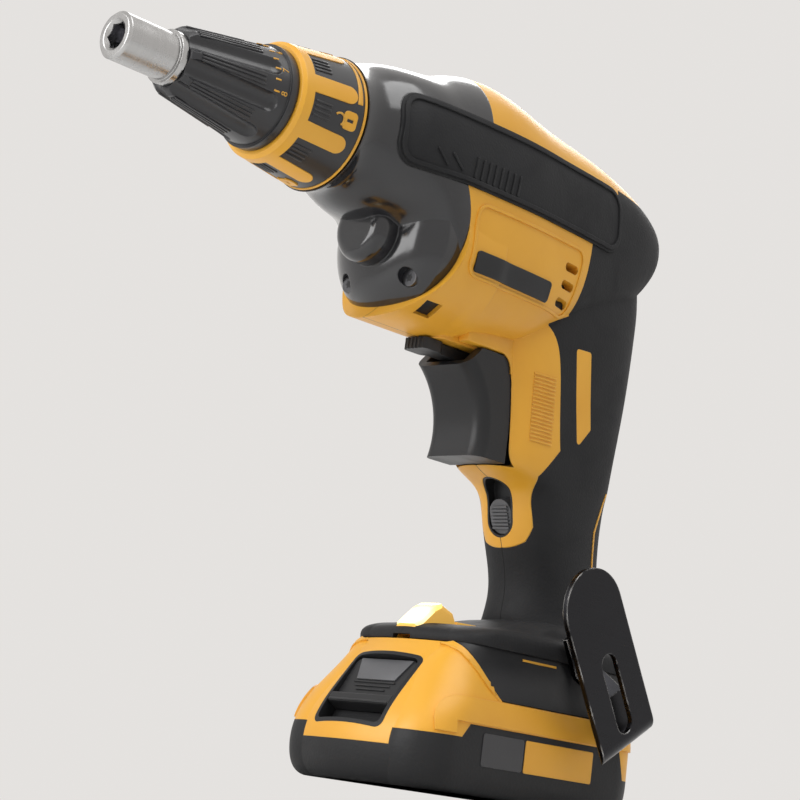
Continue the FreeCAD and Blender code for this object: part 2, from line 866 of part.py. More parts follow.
def lock_slider():
    """Ridged slider in the slot below the trigger."""
    start = bed_wall + gap
    width = slot_width - 2 * bed_wall - 2 * gap
    body = slot_bar(start, start + slider_length, width, bed_wall + fit - slot_depth, -slider_sink)
    pitch = (slider_length - ridge_ends) / slider_ridges
    half = width / 2 - ridge_margin
    bottom = -slider_sink - fit
    top = ridge_height - slider_sink
    for k in range(slider_ridges):
        low = start + ridge_ends / 2 + pitch * k
        high = low + pitch * ridge_share
        points = [slot_frame(low, bottom), slot_frame(high, bottom), slot_frame(high, top),
                  slot_frame(low, top)]
        ridge = Part.Face(Part.makePolygon(points + points[:1]))
        body = body.fuse(prism_y(ridge, -half, half))
    return body.removeSplitter()


def tongue():
    """T-shaped rail under the foot."""
    bottom = foot_bottom - tongue_depth
    neck = block(tongue_rear, tongue_front, tongue_neck, bottom, foot_bottom + 1)
    flange = block(tongue_rear, tongue_front, tongue_flange, bottom, bottom + tongue_lip)
    return neck.fuse(flange)


def channel():
    """The matching channel in the battery, open to the rear."""
    bottom = foot_bottom - tongue_depth - rail_gap
    rear = battery_sections[2][2] - 5
    neck = block(rear, channel_front, tongue_neck + rail_gap, bottom, foot_bottom + 1)
    flange = block(rear, channel_front, tongue_flange + rail_gap, bottom, bottom + tongue_lip + 2 * rail_gap)
    return neck.fuse(flange)


def terminal_block():
    """Insulator at the front of the rail."""
    body = block(tongue_front, tongue_front + block_length, tongue_neck,
                 foot_bottom - tongue_depth + block_lift,
                 foot_bottom)
    upright = [e for e in body.Edges if e.BoundBox.ZLength > tongue_depth - 2
               and e.BoundBox.XMin > tongue_front + 1]
    return body.makeFillet(block_round, upright)


def blade_y(k):
    """Where the contact blade of a number stands across the rail."""
    return (k - (blade_count - 1) / 2) * blade_pitch


def blade_bottom():
    """Lower edge of the contact blades."""
    return foot_bottom - tongue_depth / 2 - blade_height / 2


def terminal_blades():
    """Contact blades of the tool, one solid each."""
    start = tongue_front + block_length
    blades = [Part.makeBox(blade_length, blade_thickness, blade_height,
                           Vector(start, blade_y(k) - blade_thickness / 2,
                                  blade_bottom())) for k in range(blade_count)]
    return Part.makeCompound(blades)


def battery_contacts():
    """Spring clips of the battery round the blades, one solid each."""
    rear = tongue_front + block_length + 2 * gap
    clips = []
    for k in range(blade_count):
        half = blade_thickness / 2 + gap + clip_wall
        outer = Part.makeBox(channel_front - rear, 2 * half, blade_height,
                             Vector(rear, blade_y(k) - half, blade_bottom()))
        slot_half = blade_thickness / 2 + gap
        slot = Part.makeBox(blade_length + gap, 2 * slot_half, blade_height,
                            Vector(rear - gap, blade_y(k) - slot_half, blade_bottom()))
        clips.append(outer.cut(slot))
    return Part.makeCompound(clips)


def slope_point(s, depth, y=0.0):
    """A point on the sloping front of the battery, s down from its top edge and a depth under the surface."""
    top = Vector(slope_top_x, y, slope_top_z)
    bottom = Vector(slope_bottom_x, y, slope_bottom_z)
    down = (bottom - top).normalize()
    inward = Vector(down.z, 0, -down.x)
    return top + down * s + inward * depth


def slope_prism(s0, s1, d0, d1, half):
    """A block that lies along the sloping front."""
    points = [slope_point(s0, d0), slope_point(s1, d0), slope_point(s1, d1), slope_point(s0, d1)]
    return prism_y(Part.Face(Part.makePolygon(points + points[:1])), -half, half)


def latch_well(inset, floor):
    """Hollow in the sloping front, less an inset at its edges, down to a floor."""
    half = latch_half_width + gap + tray_wall - inset
    well = slope_prism(recess_top_s + inset, recess_bottom_s - inset, -recess_depth, floor, half)
    corners = [e for e in well.Edges if e.BoundBox.YLength < 0.01
               and abs(e.Length - recess_depth - floor) < 0.01]
    return well.makeFillet(recess_corner - inset / 2, corners)


def arm_bottom():
    """Underside of the arm between the latch plate and its catch."""
    return slope_point(latch_top_s, latch_depth + latch_thickness).z - arm_thickness / 2


def catch_room():
    """Room for the catch and its arm inside the upper case, over the latch's travel."""
    low = arm_bottom() - latch_travel - gap
    half = catch_half_width + gap
    stem = block(catch_rear - gap, catch_front + latch_travel, half, low, foot_bottom + 1)
    arm = block(catch_rear - gap, arm_front() + latch_travel, half, low, arm_bottom() + arm_thickness + gap)
    return stem.fuse(arm)


def arm_front():
    """Where the arm ends in the latch plate."""
    return slope_point(latch_top_s + arm_thickness, latch_depth + 1).x


def latch_tray():
    """Black tray that lines the hollow round the latch."""
    tray = latch_well(0.0, recess_depth + tray_floor).common(battery_form())
    return tray.cut(latch_well(tray_wall, recess_depth)).cut(catch_room())


def latch_button():
    """Latch plate with a thumb lip, and the catch that stands up into the foot."""
    plate = slope_prism(latch_top_s, latch_bottom_s, latch_depth, latch_depth + latch_thickness,
                        latch_half_width)
    corners = [e for e in plate.Edges if abs(e.Length - latch_thickness) < 0.01
               and e.CenterOfMass.z > slope_bottom_z + 10]
    plate = plate.makeFillet(recess_corner, corners)
    lip = slope_prism(latch_bottom_s - latch_lip, latch_bottom_s, latch_lip_depth, latch_depth + 1,
                      latch_half_width)
    front = [e for e in lip.Edges if e.BoundBox.YLength > latch_half_width
             and e.CenterOfMass.x > lip.CenterOfMass.x]
    lip = lip.makeFillet(latch_lip_round, front)
    stem = block(catch_rear, catch_front, catch_half_width, arm_bottom(), foot_bottom + catch_rise)
    arm = block(catch_rear, arm_front(), catch_half_width, arm_bottom(), arm_bottom() + arm_thickness)
    return plate.fuse([lip, stem, arm]).removeSplitter()


def catch_notch():
    """Notch under the foot for the catch, open to the front."""
    return block(catch_rear - gap, reach, catch_half_width + gap, foot_bottom - 1,
                 foot_bottom + catch_rise + gap)


def battery_form():
    """Outer form of the battery."""
    return loft([rounded_section(*section) for section in battery_sections])


def skirt_region(grow=0.0):
    """The room beside the battery that the foot's skirts fill, grown by a clearance."""
    line = [Vector(x + grow, 0, z) for x, z in skirt_front]
    curve = Part.BSplineCurve()
    curve.interpolate(Points=line)
    rear = -2 * reach
    corners = [line[-1], Vector(line[-1].x, 0, skirt_bottom - grow), Vector(rear, 0, skirt_bottom - grow),
               Vector(rear, 0, foot_bottom), line[0]]
    if not grow:
        corners.pop(0)
    edges = [curve.toShape()] + [Part.makeLine(a, b) for a, b in zip(corners, corners[1:])]
    region = prism_y(Part.Face(Part.Wire(edges)), -reach, reach)
    return region.cut(block(rear, reach, skirt_inner - grow, 0, foot_bottom + 1))


def foot_skirts():
    """Side skirts of the foot, flush with the battery below them."""
    top = (foot_bottom,) + battery_sections[-1][1:]
    form = loft([rounded_section(*section) for section in battery_sections[:-1] + (top,)])
    return form.common(skirt_region())


def lower_region():
    """What belongs to the battery's lower case: base, raised corners and raised sides."""
    rear = -reach
    side = face_xz(((rear, -5), (reach, -5), (reach, rim_front_z), (rim_side_front + 14, rim_front_z),
                    (rim_side_front + 6, rim_side_z), (rim_side_rear, rim_side_z), (rim_side_rear - 4,
                                                                                    rim_front_z),
                    (rear, rim_front_z)))
    region = prism_y(side, -reach, reach)
    for y0, y1 in ((rim_corner_y, reach), (-reach, -rim_corner_y)):
        corner = Part.makeBox(reach - rim_side_front, y1 - y0, rim_corner_z + 5,
                              Vector(rim_side_front, y0, -5))
        region = region.fuse(corner)
    return region.removeSplitter()


def cell_height():
    """Height of the cells' axes."""
    return cell_wall + holder_rim + cell_radius


def cell_space():
    """Room for the cells and the board above them."""
    half_length = (cell_count * cell_pitch) / 2 + cell_room
    half_width = cell_length / 2 + cell_room
    half_board = board_length / 2 + cell_room
    top = cell_height() + cell_radius + holder_rim + gap
    room = block(cell_centre_x - half_length, cell_centre_x + half_length, half_width, cell_wall, top)
    above = block(cell_centre_x - half_board, cell_centre_x + half_board, board_width / 2 + cell_room,
                  top - fit, top + board_lift + board_thickness + board_headroom)
    return room.fuse(above)


def battery_cells():
    """Five round cells across the pack, one solid each, with a shoulder at the positive end."""
    cells = []
    for k in range(cell_count):
        x = cell_centre_x + (k - (cell_count - 1) / 2) * cell_pitch
        z = cell_height()
        can = Part.makeCylinder(cell_radius, cell_length - cell_cap, Vector(x, -cell_length / 2, z), AXIS_Y)
        cap = Part.makeCylinder(cell_cap_radius, cell_cap, Vector(x, cell_length / 2 - cell_cap, z), AXIS_Y)
        cells.append(can.fuse(cap).removeSplitter())
    return Part.makeCompound(cells)


def cell_holder():
    """Two frames that the cells pass through."""
    frames = []
    half_length = (cell_count * cell_pitch) / 2 + cell_room - gap
    top = cell_height() + cell_radius + holder_rim
    for side in (1, -1):
        middle = side * holder_spread
        frame = Part.makeBox(2 * half_length, holder_wall, top - cell_wall,
                             Vector(cell_centre_x - half_length, middle - holder_wall / 2, cell_wall))
        for k in range(cell_count):
            x = cell_centre_x + (k - (cell_count - 1) / 2) * cell_pitch
            frame = frame.cut(Part.makeCylinder(cell_radius + fit, 2 * holder_wall,
                                                Vector(x, middle - holder_wall, cell_height()), AXIS_Y))
        frames.append(frame)
    return Part.makeCompound(frames)


def battery_board():
    """Circuit board over the cells, on pads of its own."""
    bottom = cell_height() + cell_radius + holder_rim + gap + board_lift
    board = block(cell_centre_x - board_length / 2, cell_centre_x + board_length / 2, board_width / 2, bottom,
                  bottom + board_thickness)
    run = board_length / 2 - board_pad_inset
    pads = [Part.makeBox(board_pad, board_pad, board_lift,
                         Vector(cell_centre_x + sx * run - board_pad / 2,
                                sy * board_pad_spread - board_pad / 2,
                                bottom - board_lift))
            for sx in (1, -1) for sy in (1, -1)]
    return board.fuse(pads)


def hook_place(shape):
    """Carry a shape from the hook's own frame (u up, v forward, w out) to the tool's side."""
    tilt = math.radians(hook_tilt)
    origin_x = hook_corner_x - hook_width * math.cos(tilt)
    origin_z = hook_corner_z + hook_width * math.sin(tilt)
    matrix = FreeCAD.Matrix(math.sin(tilt), math.cos(tilt), 0, origin_x,
                            0, 0, 1, 0,
                            math.cos(tilt), -math.sin(tilt), 0, origin_z,
                            0, 0, 0, 1)
    return shape.transformGeometry(matrix)


def strip_middle():
    """Middle line of the hook's inner strip."""
    return hook_strip_rear + hook_strip / 2


def foot_side():
    """Where the flat side of the foot stands."""
    return foot_sections[0][3]


def belt_hook():
    """Bent steel strip: pad on the foot, jog round the battery, bend at the corner, wide outer leaf."""
    t = hook_thickness
    pad = foot_side() + gap
    jog = hook_inner_y - pad
    shift = t * math.tan(math.radians(22.5))
    bend = (hook_outer_y - hook_inner_y - t) / 2
    axis = hook_inner_y + t + bend
    jog_top = hook_jog_bottom + jog

    def at(u, w):
        return Vector(u, 0, w)

    line = [at(hook_pad_top, pad), at(jog_top, pad), at(hook_jog_bottom, hook_inner_y),
            at(hook_bend_s, hook_inner_y)]
    outer = Part.Arc(line[3], at(hook_bend_s - bend - t, axis), at(hook_bend_s, hook_outer_y + t)).toShape()
    leaf = [at(hook_bend_s, hook_outer_y + t), at(hook_length, hook_outer_y + t),
            at(hook_length, hook_outer_y),
            at(hook_bend_s, hook_outer_y)]
    inner = Part.Arc(leaf[3], at(hook_bend_s - bend, axis), at(hook_bend_s, hook_inner_y + t)).toShape()
    back = [at(hook_bend_s, hook_inner_y + t), at(hook_jog_bottom + shift, hook_inner_y + t),
            at(jog_top + shift, pad + t),
            at(hook_pad_top, pad + t), line[0]]
    edges = [Part.makeLine(a, b) for a, b in zip(line, line[1:])] + [outer]
    edges += [Part.makeLine(a, b) for a, b in zip(leaf, leaf[1:])] + [inner]
    edges += [Part.makeLine(a, b) for a, b in zip(back, back[1:])]
    strip = Part.Face(Part.Wire(edges)).extrude(Vector(0, hook_width, 0))
    for v, width in ((0, hook_strip_rear),
                     (hook_strip_rear + hook_strip, hook_width - hook_strip_rear - hook_strip)):
        strip = strip.cut(Part.makeBox(2 * reach, width, hook_outer_y, Vector(-reach, v, 0)))
        strip = strip.cut(Part.makeBox(reach, width, reach, Vector(-reach, v, 0)))
    half = hook_width / 2
    wide = Part.makeBox(reach + hook_length - half, hook_width, reach, Vector(-reach, 0, hook_outer_y - 0.5))
    crown = Part.makeCylinder(half, reach, Vector(hook_length - half, half, hook_outer_y - 0.5), AXIS_Z)
    inner_part = Part.makeBox(2 * reach, hook_width, hook_outer_y - 0.5, Vector(-reach, 0, 0))
    strip = strip.common(wide.fuse([crown, inner_part]))
    slot_half = hook_slot_width / 2
    slot = Part.makeBox(hook_slot_top - hook_slot_bottom, hook_slot_width, reach,
                        Vector(hook_slot_bottom, half - slot_half, hook_outer_y - 1))
    for u in (hook_slot_bottom, hook_slot_top):
        slot = slot.fuse(Part.makeCylinder(slot_half, reach, Vector(u, half, hook_outer_y - 1), AXIS_Z))
    hole = Part.makeCylinder(hook_screw_radius + fit, hook_inner_y, Vector(hook_screw_s, strip_middle(), 0),
                             AXIS_Z)
    return hook_place(strip.cut(slot).cut(hole).removeSplitter())


def hook_screw(grow=0.0):
    """Screw that holds the hook to the foot."""
    pad = foot_side() + gap + hook_thickness
    centre = Vector(hook_screw_s, strip_middle(), pad)
    head = Part.makeCylinder(hook_screw_head, hook_screw_rise, centre, AXIS_Z)
    shank = Part.makeCylinder(hook_screw_radius + grow, hook_screw_length,
                              centre - AXIS_Z * hook_screw_length, AXIS_Z)
    return hook_place(head.fuse(shank).removeSplitter()) if not grow else hook_place(shank)


def case_screws(grow=0.0):
    """Screws along Y that hold the two halves together, from the right side."""
    screws = []
    for x, z, seat in case_screw_places:
        top = Vector(x, -seat, z)
        rise = reach if grow else case_screw_rise
        head = Part.makeCylinder(case_screw_head + grow, rise, top, -AXIS_Y)
        shank = Part.makeCylinder(case_screw_radius + grow, case_screw_length + grow, top, AXIS_Y)
        screws.append(head.fuse(shank).removeSplitter())
    return Part.makeCompound(screws)


def gear_case_screws(grow=0.0):
    """Screws along X through the rim of the dome."""
    screws = []
    for angle in gear_screw_angles:
        y = gear_screw_circle * math.cos(math.radians(angle))
        z = motor_height + gear_screw_circle * math.sin(math.radians(angle))
        seat = Vector(gear_screw_seat, y, z)
        rise = reach if grow else case_screw_rise
        head = Part.makeCylinder(case_screw_head + grow, rise, seat, AXIS_X)
        shank = Part.makeCylinder(case_screw_radius + grow, gear_screw_length + grow, seat, -AXIS_X)
        screws.append(head.fuse(shank).removeSplitter())
    return Part.makeCompound(screws)


def battery_screws(grow=0.0):
    """Screws up into the battery from its base."""
    screws = []
    for x, y in battery_screw_places:
        seat = Vector(x, y, battery_screw_seat)
        rise = reach if grow else case_screw_rise
        head = Part.makeCylinder(case_screw_head + grow, rise, seat, -AXIS_Z)
        shank = Part.makeCylinder(case_screw_radius + grow, battery_screw_length + grow, seat, AXIS_Z)
        screws.append(head.fuse(shank).removeSplitter())
    return Part.makeCompound(screws)


def gear_outline(teeth, thin, phase, x, y, z):
    """Involute tooth outline in the plane across X."""
    pitch_radius = gear_module * teeth / 2
    base = pitch_radius * math.cos(math.radians(pressure_angle))
    tip = pitch_radius + gear_module * addendum
    root = pitch_radius - gear_module * dedendum
    half_pitch_angle = math.pi / (2 * teeth) - thin / (2 * pitch_radius)
    flank_start = max(base, root)

    def roll(radius):
        turn = math.sqrt(max(radius / base, 1) ** 2 - 1)
        return turn - math.atan(turn)

    flank_radii = [root, flank_start + 0.02, (flank_start + tip) / 2, tip]
    if root > base:
        flank_radii = [root, (root + tip) / 2, tip]
    points = []
    for k in range(teeth):
        middle = 2 * math.pi * k / teeth + phase
        flank = [(r, half_pitch_angle + roll(pitch_radius) - roll(r)) for r in flank_radii]
        for r, a in flank:
            points.append((r, middle - a))
        for r, a in reversed(flank):
            points.append((r, middle + a))
    corners = [Vector(x, y + r * math.sin(a), z + r * math.cos(a)) for r, a in points]
    return Part.Face(Part.makePolygon(corners + corners[:1]))


def drive_gear():
    """Large gear on the spindle, with a hub and a thin web."""
    face = gear_outline(gear_teeth, tooth_backlash, math.pi, gear_rear, 0, spindle_height)
    gear = face.extrude(Vector(gear_width, 0, 0))
    front = gear_rear + gear_width
    hub_radius = spindle_radius + hub_wall
    web = ring(gear_module * gear_teeth / 2 - gear_rim, hub_radius, front - gear_web_depth, front,
               spindle_height)
    gear = gear.cut(web).cut(cylinder(spindle_radius + fit, gear_rear, front, 0, spindle_height))
    hub = ring(hub_radius, spindle_radius + fit, gear_rear - hub_length, gear_rear, spindle_height)
    return gear.fuse(hub).removeSplitter()


def motor_shaft():
    """Motor shaft with the pinion cut on its front end."""
    rear = stator_rear - motor_tail
    shaft = cylinder(motor_shaft_radius, rear, chamber_rear + 1, 0, motor_height)
    phase = math.pi / pinion_teeth
    pinion = gear_outline(pinion_teeth, tooth_backlash, phase, gear_rear - 1, 0, motor_height)
    pinion = pinion.extrude(Vector(gear_width + 2, 0, 0))
    neck = cylinder(motor_shaft_radius, chamber_rear, gear_rear, 0, motor_height)
    return shaft.fuse([neck, pinion]).removeSplitter()


def motor_stator():
    """Laminated stator with open slots round the rotor."""
    stator = ring(stator_radius, rotor_radius + air_gap, stator_rear, stator_rear + stator_length,
                  motor_height)
    depth = stator_radius - stator_yoke - rotor_radius
    for k in range(stator_slots):
        slot = Part.makeBox(stator_length, stator_slot_width, depth,
                            Vector(stator_rear, -stator_slot_width / 2,
                                   motor_height + rotor_radius + air_gap - 0.5))
        slot.rotate(Vector(0, 0, motor_height), AXIS_X, 360 * k / stator_slots)
        stator = stator.cut(slot)
    return stator


def rotor_core():
    """Magnet core on the motor shaft."""
    inset = 1.0
    return ring(rotor_radius, motor_shaft_radius + fit, stator_rear + inset,
                stator_rear + stator_length - inset, motor_height)


def cooling_fan():
    """Radial fan on the motor shaft: disc, hub and leaning blades."""
    start = stator_rear + stator_length + fan_gap
    disc = ring(fan_radius, motor_shaft_radius + fit, start, start + fan_disc, motor_height)
    hub = ring(motor_shaft_radius + fan_hub_wall, motor_shaft_radius + fit, start, start + fan_width,
               motor_height)
    blade_run = fan_radius - motor_shaft_radius - fan_eye - fan_edge
    blades = []
    for k in range(fan_blades):
        blade = Part.makeBox(fan_width - fan_disc, fan_blade, blade_run,
                             Vector(start + fan_disc, -fan_blade / 2,
                                    motor_height + motor_shaft_radius + fan_eye))
        blade.rotate(Vector(start, 0, motor_height + fan_radius / 2), AXIS_X, fan_blade_lean)
        blade.rotate(Vector(0, 0, motor_height), AXIS_X, 360 * k / fan_blades)
        blades.append(blade.common(cylinder(fan_radius, start, start + fan_width, 0, motor_height)))
    return disc.fuse([hub] + blades).removeSplitter()


def motor_bearings():
    """Ball bearings of the motor shaft, drawn as sealed rings."""
    rear = stator_rear - motor_bearing_set
    front = chamber_rear - motor_bearing_width
    return Part.makeCompound([ring(motor_bearing_radius, motor_shaft_radius + fit, x,
                                   x + motor_bearing_width, motor_height)
                              for x in (rear, front)])


def motor_space():
    """Room in the housing for the motor, its fan and its rear bearing."""
    fan_end = stator_rear + stator_length + fan_gap + fan_width + shaft_room
    bearing_rear = stator_rear - motor_bearing_set
    parts = [cylinder(stator_radius + fit, stator_rear, stator_rear + stator_length, 0, motor_height),
             cylinder(fan_radius + shaft_room, stator_rear + stator_length - 1, fan_end, 0, motor_height),
             cylinder(motor_bearing_radius, bearing_rear, bearing_rear + motor_bearing_width, 0,
                      motor_height),
             cylinder(rotor_radius + shaft_room, stator_rear - stator_yoke, stator_rear + 1, 0, motor_height),
             cylinder(motor_shaft_radius + shaft_room, stator_rear - motor_tail - shaft_room, reach, 0,
                      motor_height)]
    return parts[0].fuse(parts[1:])


def spindle_bearings():
    """Ball bearings of the spindle, drawn as sealed rings."""
    front = ring(bearing_front_radius, spindle_radius + fit, front_bearing_rear,
                 front_bearing_rear + bearing_width,
                 spindle_height)
    rear = ring(bearing_rear_radius, journal_radius + fit, chamber_rear - bearing_width, chamber_rear,
                spindle_height)
    return Part.makeCompound([front, rear])


def nose_bushing():
    """Bronze bushing at the front of the nose tube."""
    front = neck_front + tube_length
    return ring(tube_radius - tube_wall, spindle_radius + fit, front - bearing_width, front, spindle_height)


def spindle_shaft():
    """Stepped spindle with a six-sided hole for the shank."""
    front = neck_front + tube_length
    shaft = cylinder(spindle_radius, chamber_rear + gap, front, 0, spindle_height)
    journal = cylinder(journal_radius, chamber_rear - bearing_width, chamber_rear + 1, 0, spindle_height)
    hole = hexagon(shank_flats + 2 * fit, front - shank_length - gap, front + 1, spindle_height)
    return shaft.fuse(journal).removeSplitter().cut(hole)


def clutch_plate():
    """Plate on the spindle that the clutch springs press on, with ball pockets."""
    rear = clutch_rear()
    plate = ring(tube_radius - tube_wall - gap, spindle_radius + fit, rear, rear + clutch_plate_width,
                 spindle_height)
    for k in range(clutch_balls):
        lift = (spindle_radius + tube_radius - tube_wall) / 2
        pocket = cylinder(ball_pocket_radius, rear, rear + ball_pocket_depth, 0, spindle_height + lift)
        plate = plate.cut(about_spindle(pocket, 360 * k / clutch_balls))
    return plate


def clutch_springs():
    """Stack of disc springs, each a shallow cone, set face to face in turn."""
    inner = spindle_radius + gap
    outer = tube_radius - tube_wall - fit
    rise = disc_pitch - disc_thickness - fit
    discs = []
    for k in range(spring_discs):
        x = spring_rear() + k * disc_pitch
        near, far = (0, rise) if k % 2 else (rise, 0)
        profile = ((x + near, inner), (x + near + disc_thickness, inner), (x + far + disc_thickness, outer),
                   (x + far, outer))
        discs.append(revolve_x(profile, spindle_height))
    return Part.makeCompound(discs)


def spring_nut():
    """Ring that presses on the springs, keyed into two slots of the nose tube."""
    rear = nut_rear()
    body = ring(tube_radius - tube_wall - fit, spindle_radius + gap, rear, rear + nut_length, spindle_height)
    key_start = rear + (nut_length - nut_key_length) / 2
    reach_out = tube_radius + nut_key_reach
    key = Part.makeBox(nut_key_length, 2 * reach_out, nut_key_width,
                       Vector(key_start, -reach_out, spindle_height - nut_key_width / 2))
    key = key.cut(cylinder(tube_radius - tube_wall - 2, key_start, key_start + nut_key_length, 0,
                           spindle_height))
    return body.fuse(key).removeSplitter()


def bit_socket():
    """Nut setter: six-sided mouth, flange and shank."""
    front = sleeve_front() + gap + flange_width + socket_length
    rear = front - socket_length
    shank_front = neck_front + tube_length
    profile = ((shank_front + gap, 0), (shank_front + gap, shank_radius), (rear - flange_width, shank_radius),
               (rear - flange_width, flange_radius), (rear, flange_radius), (rear, socket_radius),
               (front - socket_chamfer, socket_radius), (front, socket_radius - socket_chamfer), (front, 0))
    body = revolve_x(profile, spindle_height)
    shank = hexagon(shank_flats, shank_front - shank_length, shank_front + 1, spindle_height)
    mouth = hexagon(socket_flats, front - socket_depth, front + 1, spindle_height)
    flat = socket_flats / 2
    lead = revolve_x(((front - lead_depth, 0), (front - lead_depth, flat), (front, flat + lead_flare),
                      (front, 0)),
                     spindle_height)
    slot = Part.makeBox(socket_slot_length, socket_slot_width, 2 * socket_slot_depth,
                        Vector(front - socket_slot_set_back, -socket_slot_width / 2,
                               spindle_height - socket_radius - socket_slot_depth))
    slot.rotate(Vector(0, 0, spindle_height), AXIS_X, socket_slot_angle)
    return body.fuse(shank).removeSplitter().cut(mouth).cut(lead).cut(slot)


def socket_magnet():
    """Magnet at the bottom of the six-sided mouth."""
    front = sleeve_front() + gap + flange_width + socket_length
    return cylinder(socket_flats / 2 - 0.3, front - socket_depth, front - socket_depth + 2.0, 0,
                    spindle_height)


def sleeve_radius(x):
    """Outside radius of the torque sleeve at a station."""
    share = (x - sleeve_rear()) / sleeve_length
    return sleeve_rear_radius + (sleeve_front_radius - sleeve_rear_radius) * share


def torque_sleeve():
    """Tapered sleeve with long scallops that run out to the mouth."""
    rear = sleeve_rear()
    front = sleeve_front()
    tube_end = neck_front + tube_length + gap
    shoulder = rear + sleeve_shoulder
    mouth = shank_radius + 2 * gap
    bore = tube_radius + fit
    groove_start = nut_rear() - gap
    groove_end = nut_rear() + nut_length + nut_travel + gap
    groove = tube_radius + nut_key_reach + gap
    profile = ((rear, bore), (rear, sleeve_rear_radius), (shoulder, sleeve_rear_radius),
               (shoulder, sleeve_rear_radius - sleeve_step), (front - sleeve_lip,
                                                              sleeve_radius(front - sleeve_lip)),
               (front, sleeve_front_radius - sleeve_lip_drop), (front, mouth), (tube_end, mouth), (tube_end,
                                                                                                   bore))
    sleeve = revolve_x(profile, spindle_height)
    sleeve = sleeve.cut(cylinder(groove, groove_start, groove_end, 0, spindle_height))
    start = shoulder + scallop_start
    run = front - start + 6
    slope = math.degrees(math.atan((sleeve_radius(start) - sleeve_radius(front)) / (front - start)))
    lift = sleeve_radius(start) - sleeve_step + scallop_radius - scallop_depth
    cutter = Part.makeCylinder(scallop_radius, run, Vector(start, 0, spindle_height + lift), AXIS_X)
    cutter = cutter.fuse(Part.makeSphere(scallop_radius, Vector(start, 0, spindle_height + lift)))
    cutter.rotate(Vector(start, 0, spindle_height + lift), AXIS_Y, slope)
    for k in range(scallops):
        sleeve = sleeve.cut(about_spindle(cutter, 360 * (k + 0.5) / scallops))
    return sleeve


def collar_cone(skin):
    """Outer form of the lock collar, less a skin."""
    rear = neck_front + gap
    front = collar_front()
    wide = collar_rear_radius - skin
    slim = collar_front_radius - skin
    profile = ((rear, 0), (rear, wide - collar_bevel), (rear + collar_bevel, wide),
               (front - collar_crown, slim),
               (front, slim - collar_crown), (front, 0))
    return revolve_x(profile, spindle_height)


def collar_pads():
    """Room of the black moulding on the lock collar: a band with pads between the ribs, open outward."""
    rear = neck_front + gap + collar_edge
    front = collar_front() - collar_rim
    skin = collar_cone(-2.0).cut(collar_cone(collar_skin))
    skin = skin.common(cylinder(reach, rear, front, 0, spindle_height))
    rib_start = rear + rib_rear
    base = Vector(rib_start, 0, spindle_height + tube_radius)
    rib = Part.makeBox(front - rib_start + 1, rib_width, reach / 2, base - AXIS_Y * (rib_width / 2))
    rib = rib.fuse(Part.makeCylinder(rib_width / 2, reach / 2, base, AXIS_Z))
    for k in range(collar_ribs):
        skin = skin.cut(about_spindle(rib, 360 * k / collar_ribs + collar_phase))
    return skin


def collar_grip():
    """Black moulding on the lock collar, a little below the ribs."""
    return collar_pads().common(collar_cone(pad_drop))


def lock_collar():
    """Yellow lock collar with ribs between the pads of its moulding."""
    bore = cylinder(tube_radius + fit, neck_front, collar_front() + 1, 0, spindle_height)
    return collar_cone(0.0).cut(bore).cut(collar_pads())


def switch_module():
    """Trigger switch behind the trigger, with the bore of its plunger."""
    depth = plunger_length + trigger_travel + plunger_room
    bore = cylinder(plunger_radius + fit, trigger_rear - depth, switch_front + 1, 0, plunger_height)
    return switch_space().cut(bore)


def switch_space():
    """Room for the switch in the handle."""
    body = block(switch_front - switch_length, switch_front, switch_half_width, switch_bottom,
                 switch_bottom + switch_height)
    upright = [e for e in body.Edges if e.BoundBox.ZLength > switch_height - 1]
    return body.makeFillet(switch_round, upright)


def trigger_space():
    """Opening that the trigger moves in."""
    low = trigger_bottom - gap
    high = trigger_top + gap
    crown = shoulder_top + gap
    rear = switch_front - 0.01
    cavity = block(rear, reach, trigger_half_width + gap, low, high)
    raised = block(rear, reach, trigger_half_width + gap, high, crown)
    raised = raised.cut(block(rear - 1, reach + 1, shoulder_inner - gap, high, crown))
    sides = face_xz(((opening_rear, low), (reach, low), (reach, high), (opening_rear, high)))
    upper = face_xz(((opening_rear, high - 2 * opening_crown), (reach, high - 2 * opening_crown),
                     (reach, crown),
                     (opening_rear, crown)))
    sides = prism_y(round_corners(sides, opening_corner), -reach, reach)
    upper = prism_y(round_corners(upper, opening_crown), -reach, reach)
    upper = upper.cut(block(-reach, reach + 1, shoulder_inner - gap, high, crown))
    return cavity.fuse([raised, sides, upper])


def control_module(fins=True):
    """Motor controller in the handle, a tray with fins down its front."""
    x1 = module_front
    body = block(x1 - module_length, x1, module_half_width, module_bottom, module_bottom + module_height)
    pitch = 2 * module_half_width / (2 * module_fins + 1)
    if fins:
        for k in range(module_fins):
            y = -module_half_width + pitch * (2 * k + 1)
            body = body.cut(Part.makeBox(module_fin_depth, pitch, module_height,
                                         Vector(x1 - module_fin_depth, y, module_bottom)))
    return body


def vents(side):
    """Air slots behind the label, on one side."""
    cuts = []
    for k in range(vent_count):
        z = vent_bottom + k * vent_pitch
        slot = side_prism(vent_rear, vent_front, z, z + vent_height, vent_height / 2 - 0.1, side, vent_floor)
        cuts.append(slot)
    return cuts[0].fuse(cuts[1:])


def rim_slots():
    """Air slot in the lower edge of the housing's rim, on the left side."""
    slot = Part.makeBox(rim_slot_front - rim_slot_rear, rim_slot_width, 2 * rim_slot_depth,
                        Vector(rim_slot_rear, -rim_slot_width / 2,
                               motor_height - rim_radius - rim_slot_depth))
    slot.rotate(Vector(0, 0, motor_height), AXIS_X, rim_slot_angle)
    return slot


def half_space(side):
    """Everything on one side of the middle plane."""
    low = 0 if side > 0 else -reach
    return Part.makeBox(6 * reach, reach, 6 * reach, Vector(-3 * reach, low, -reach))


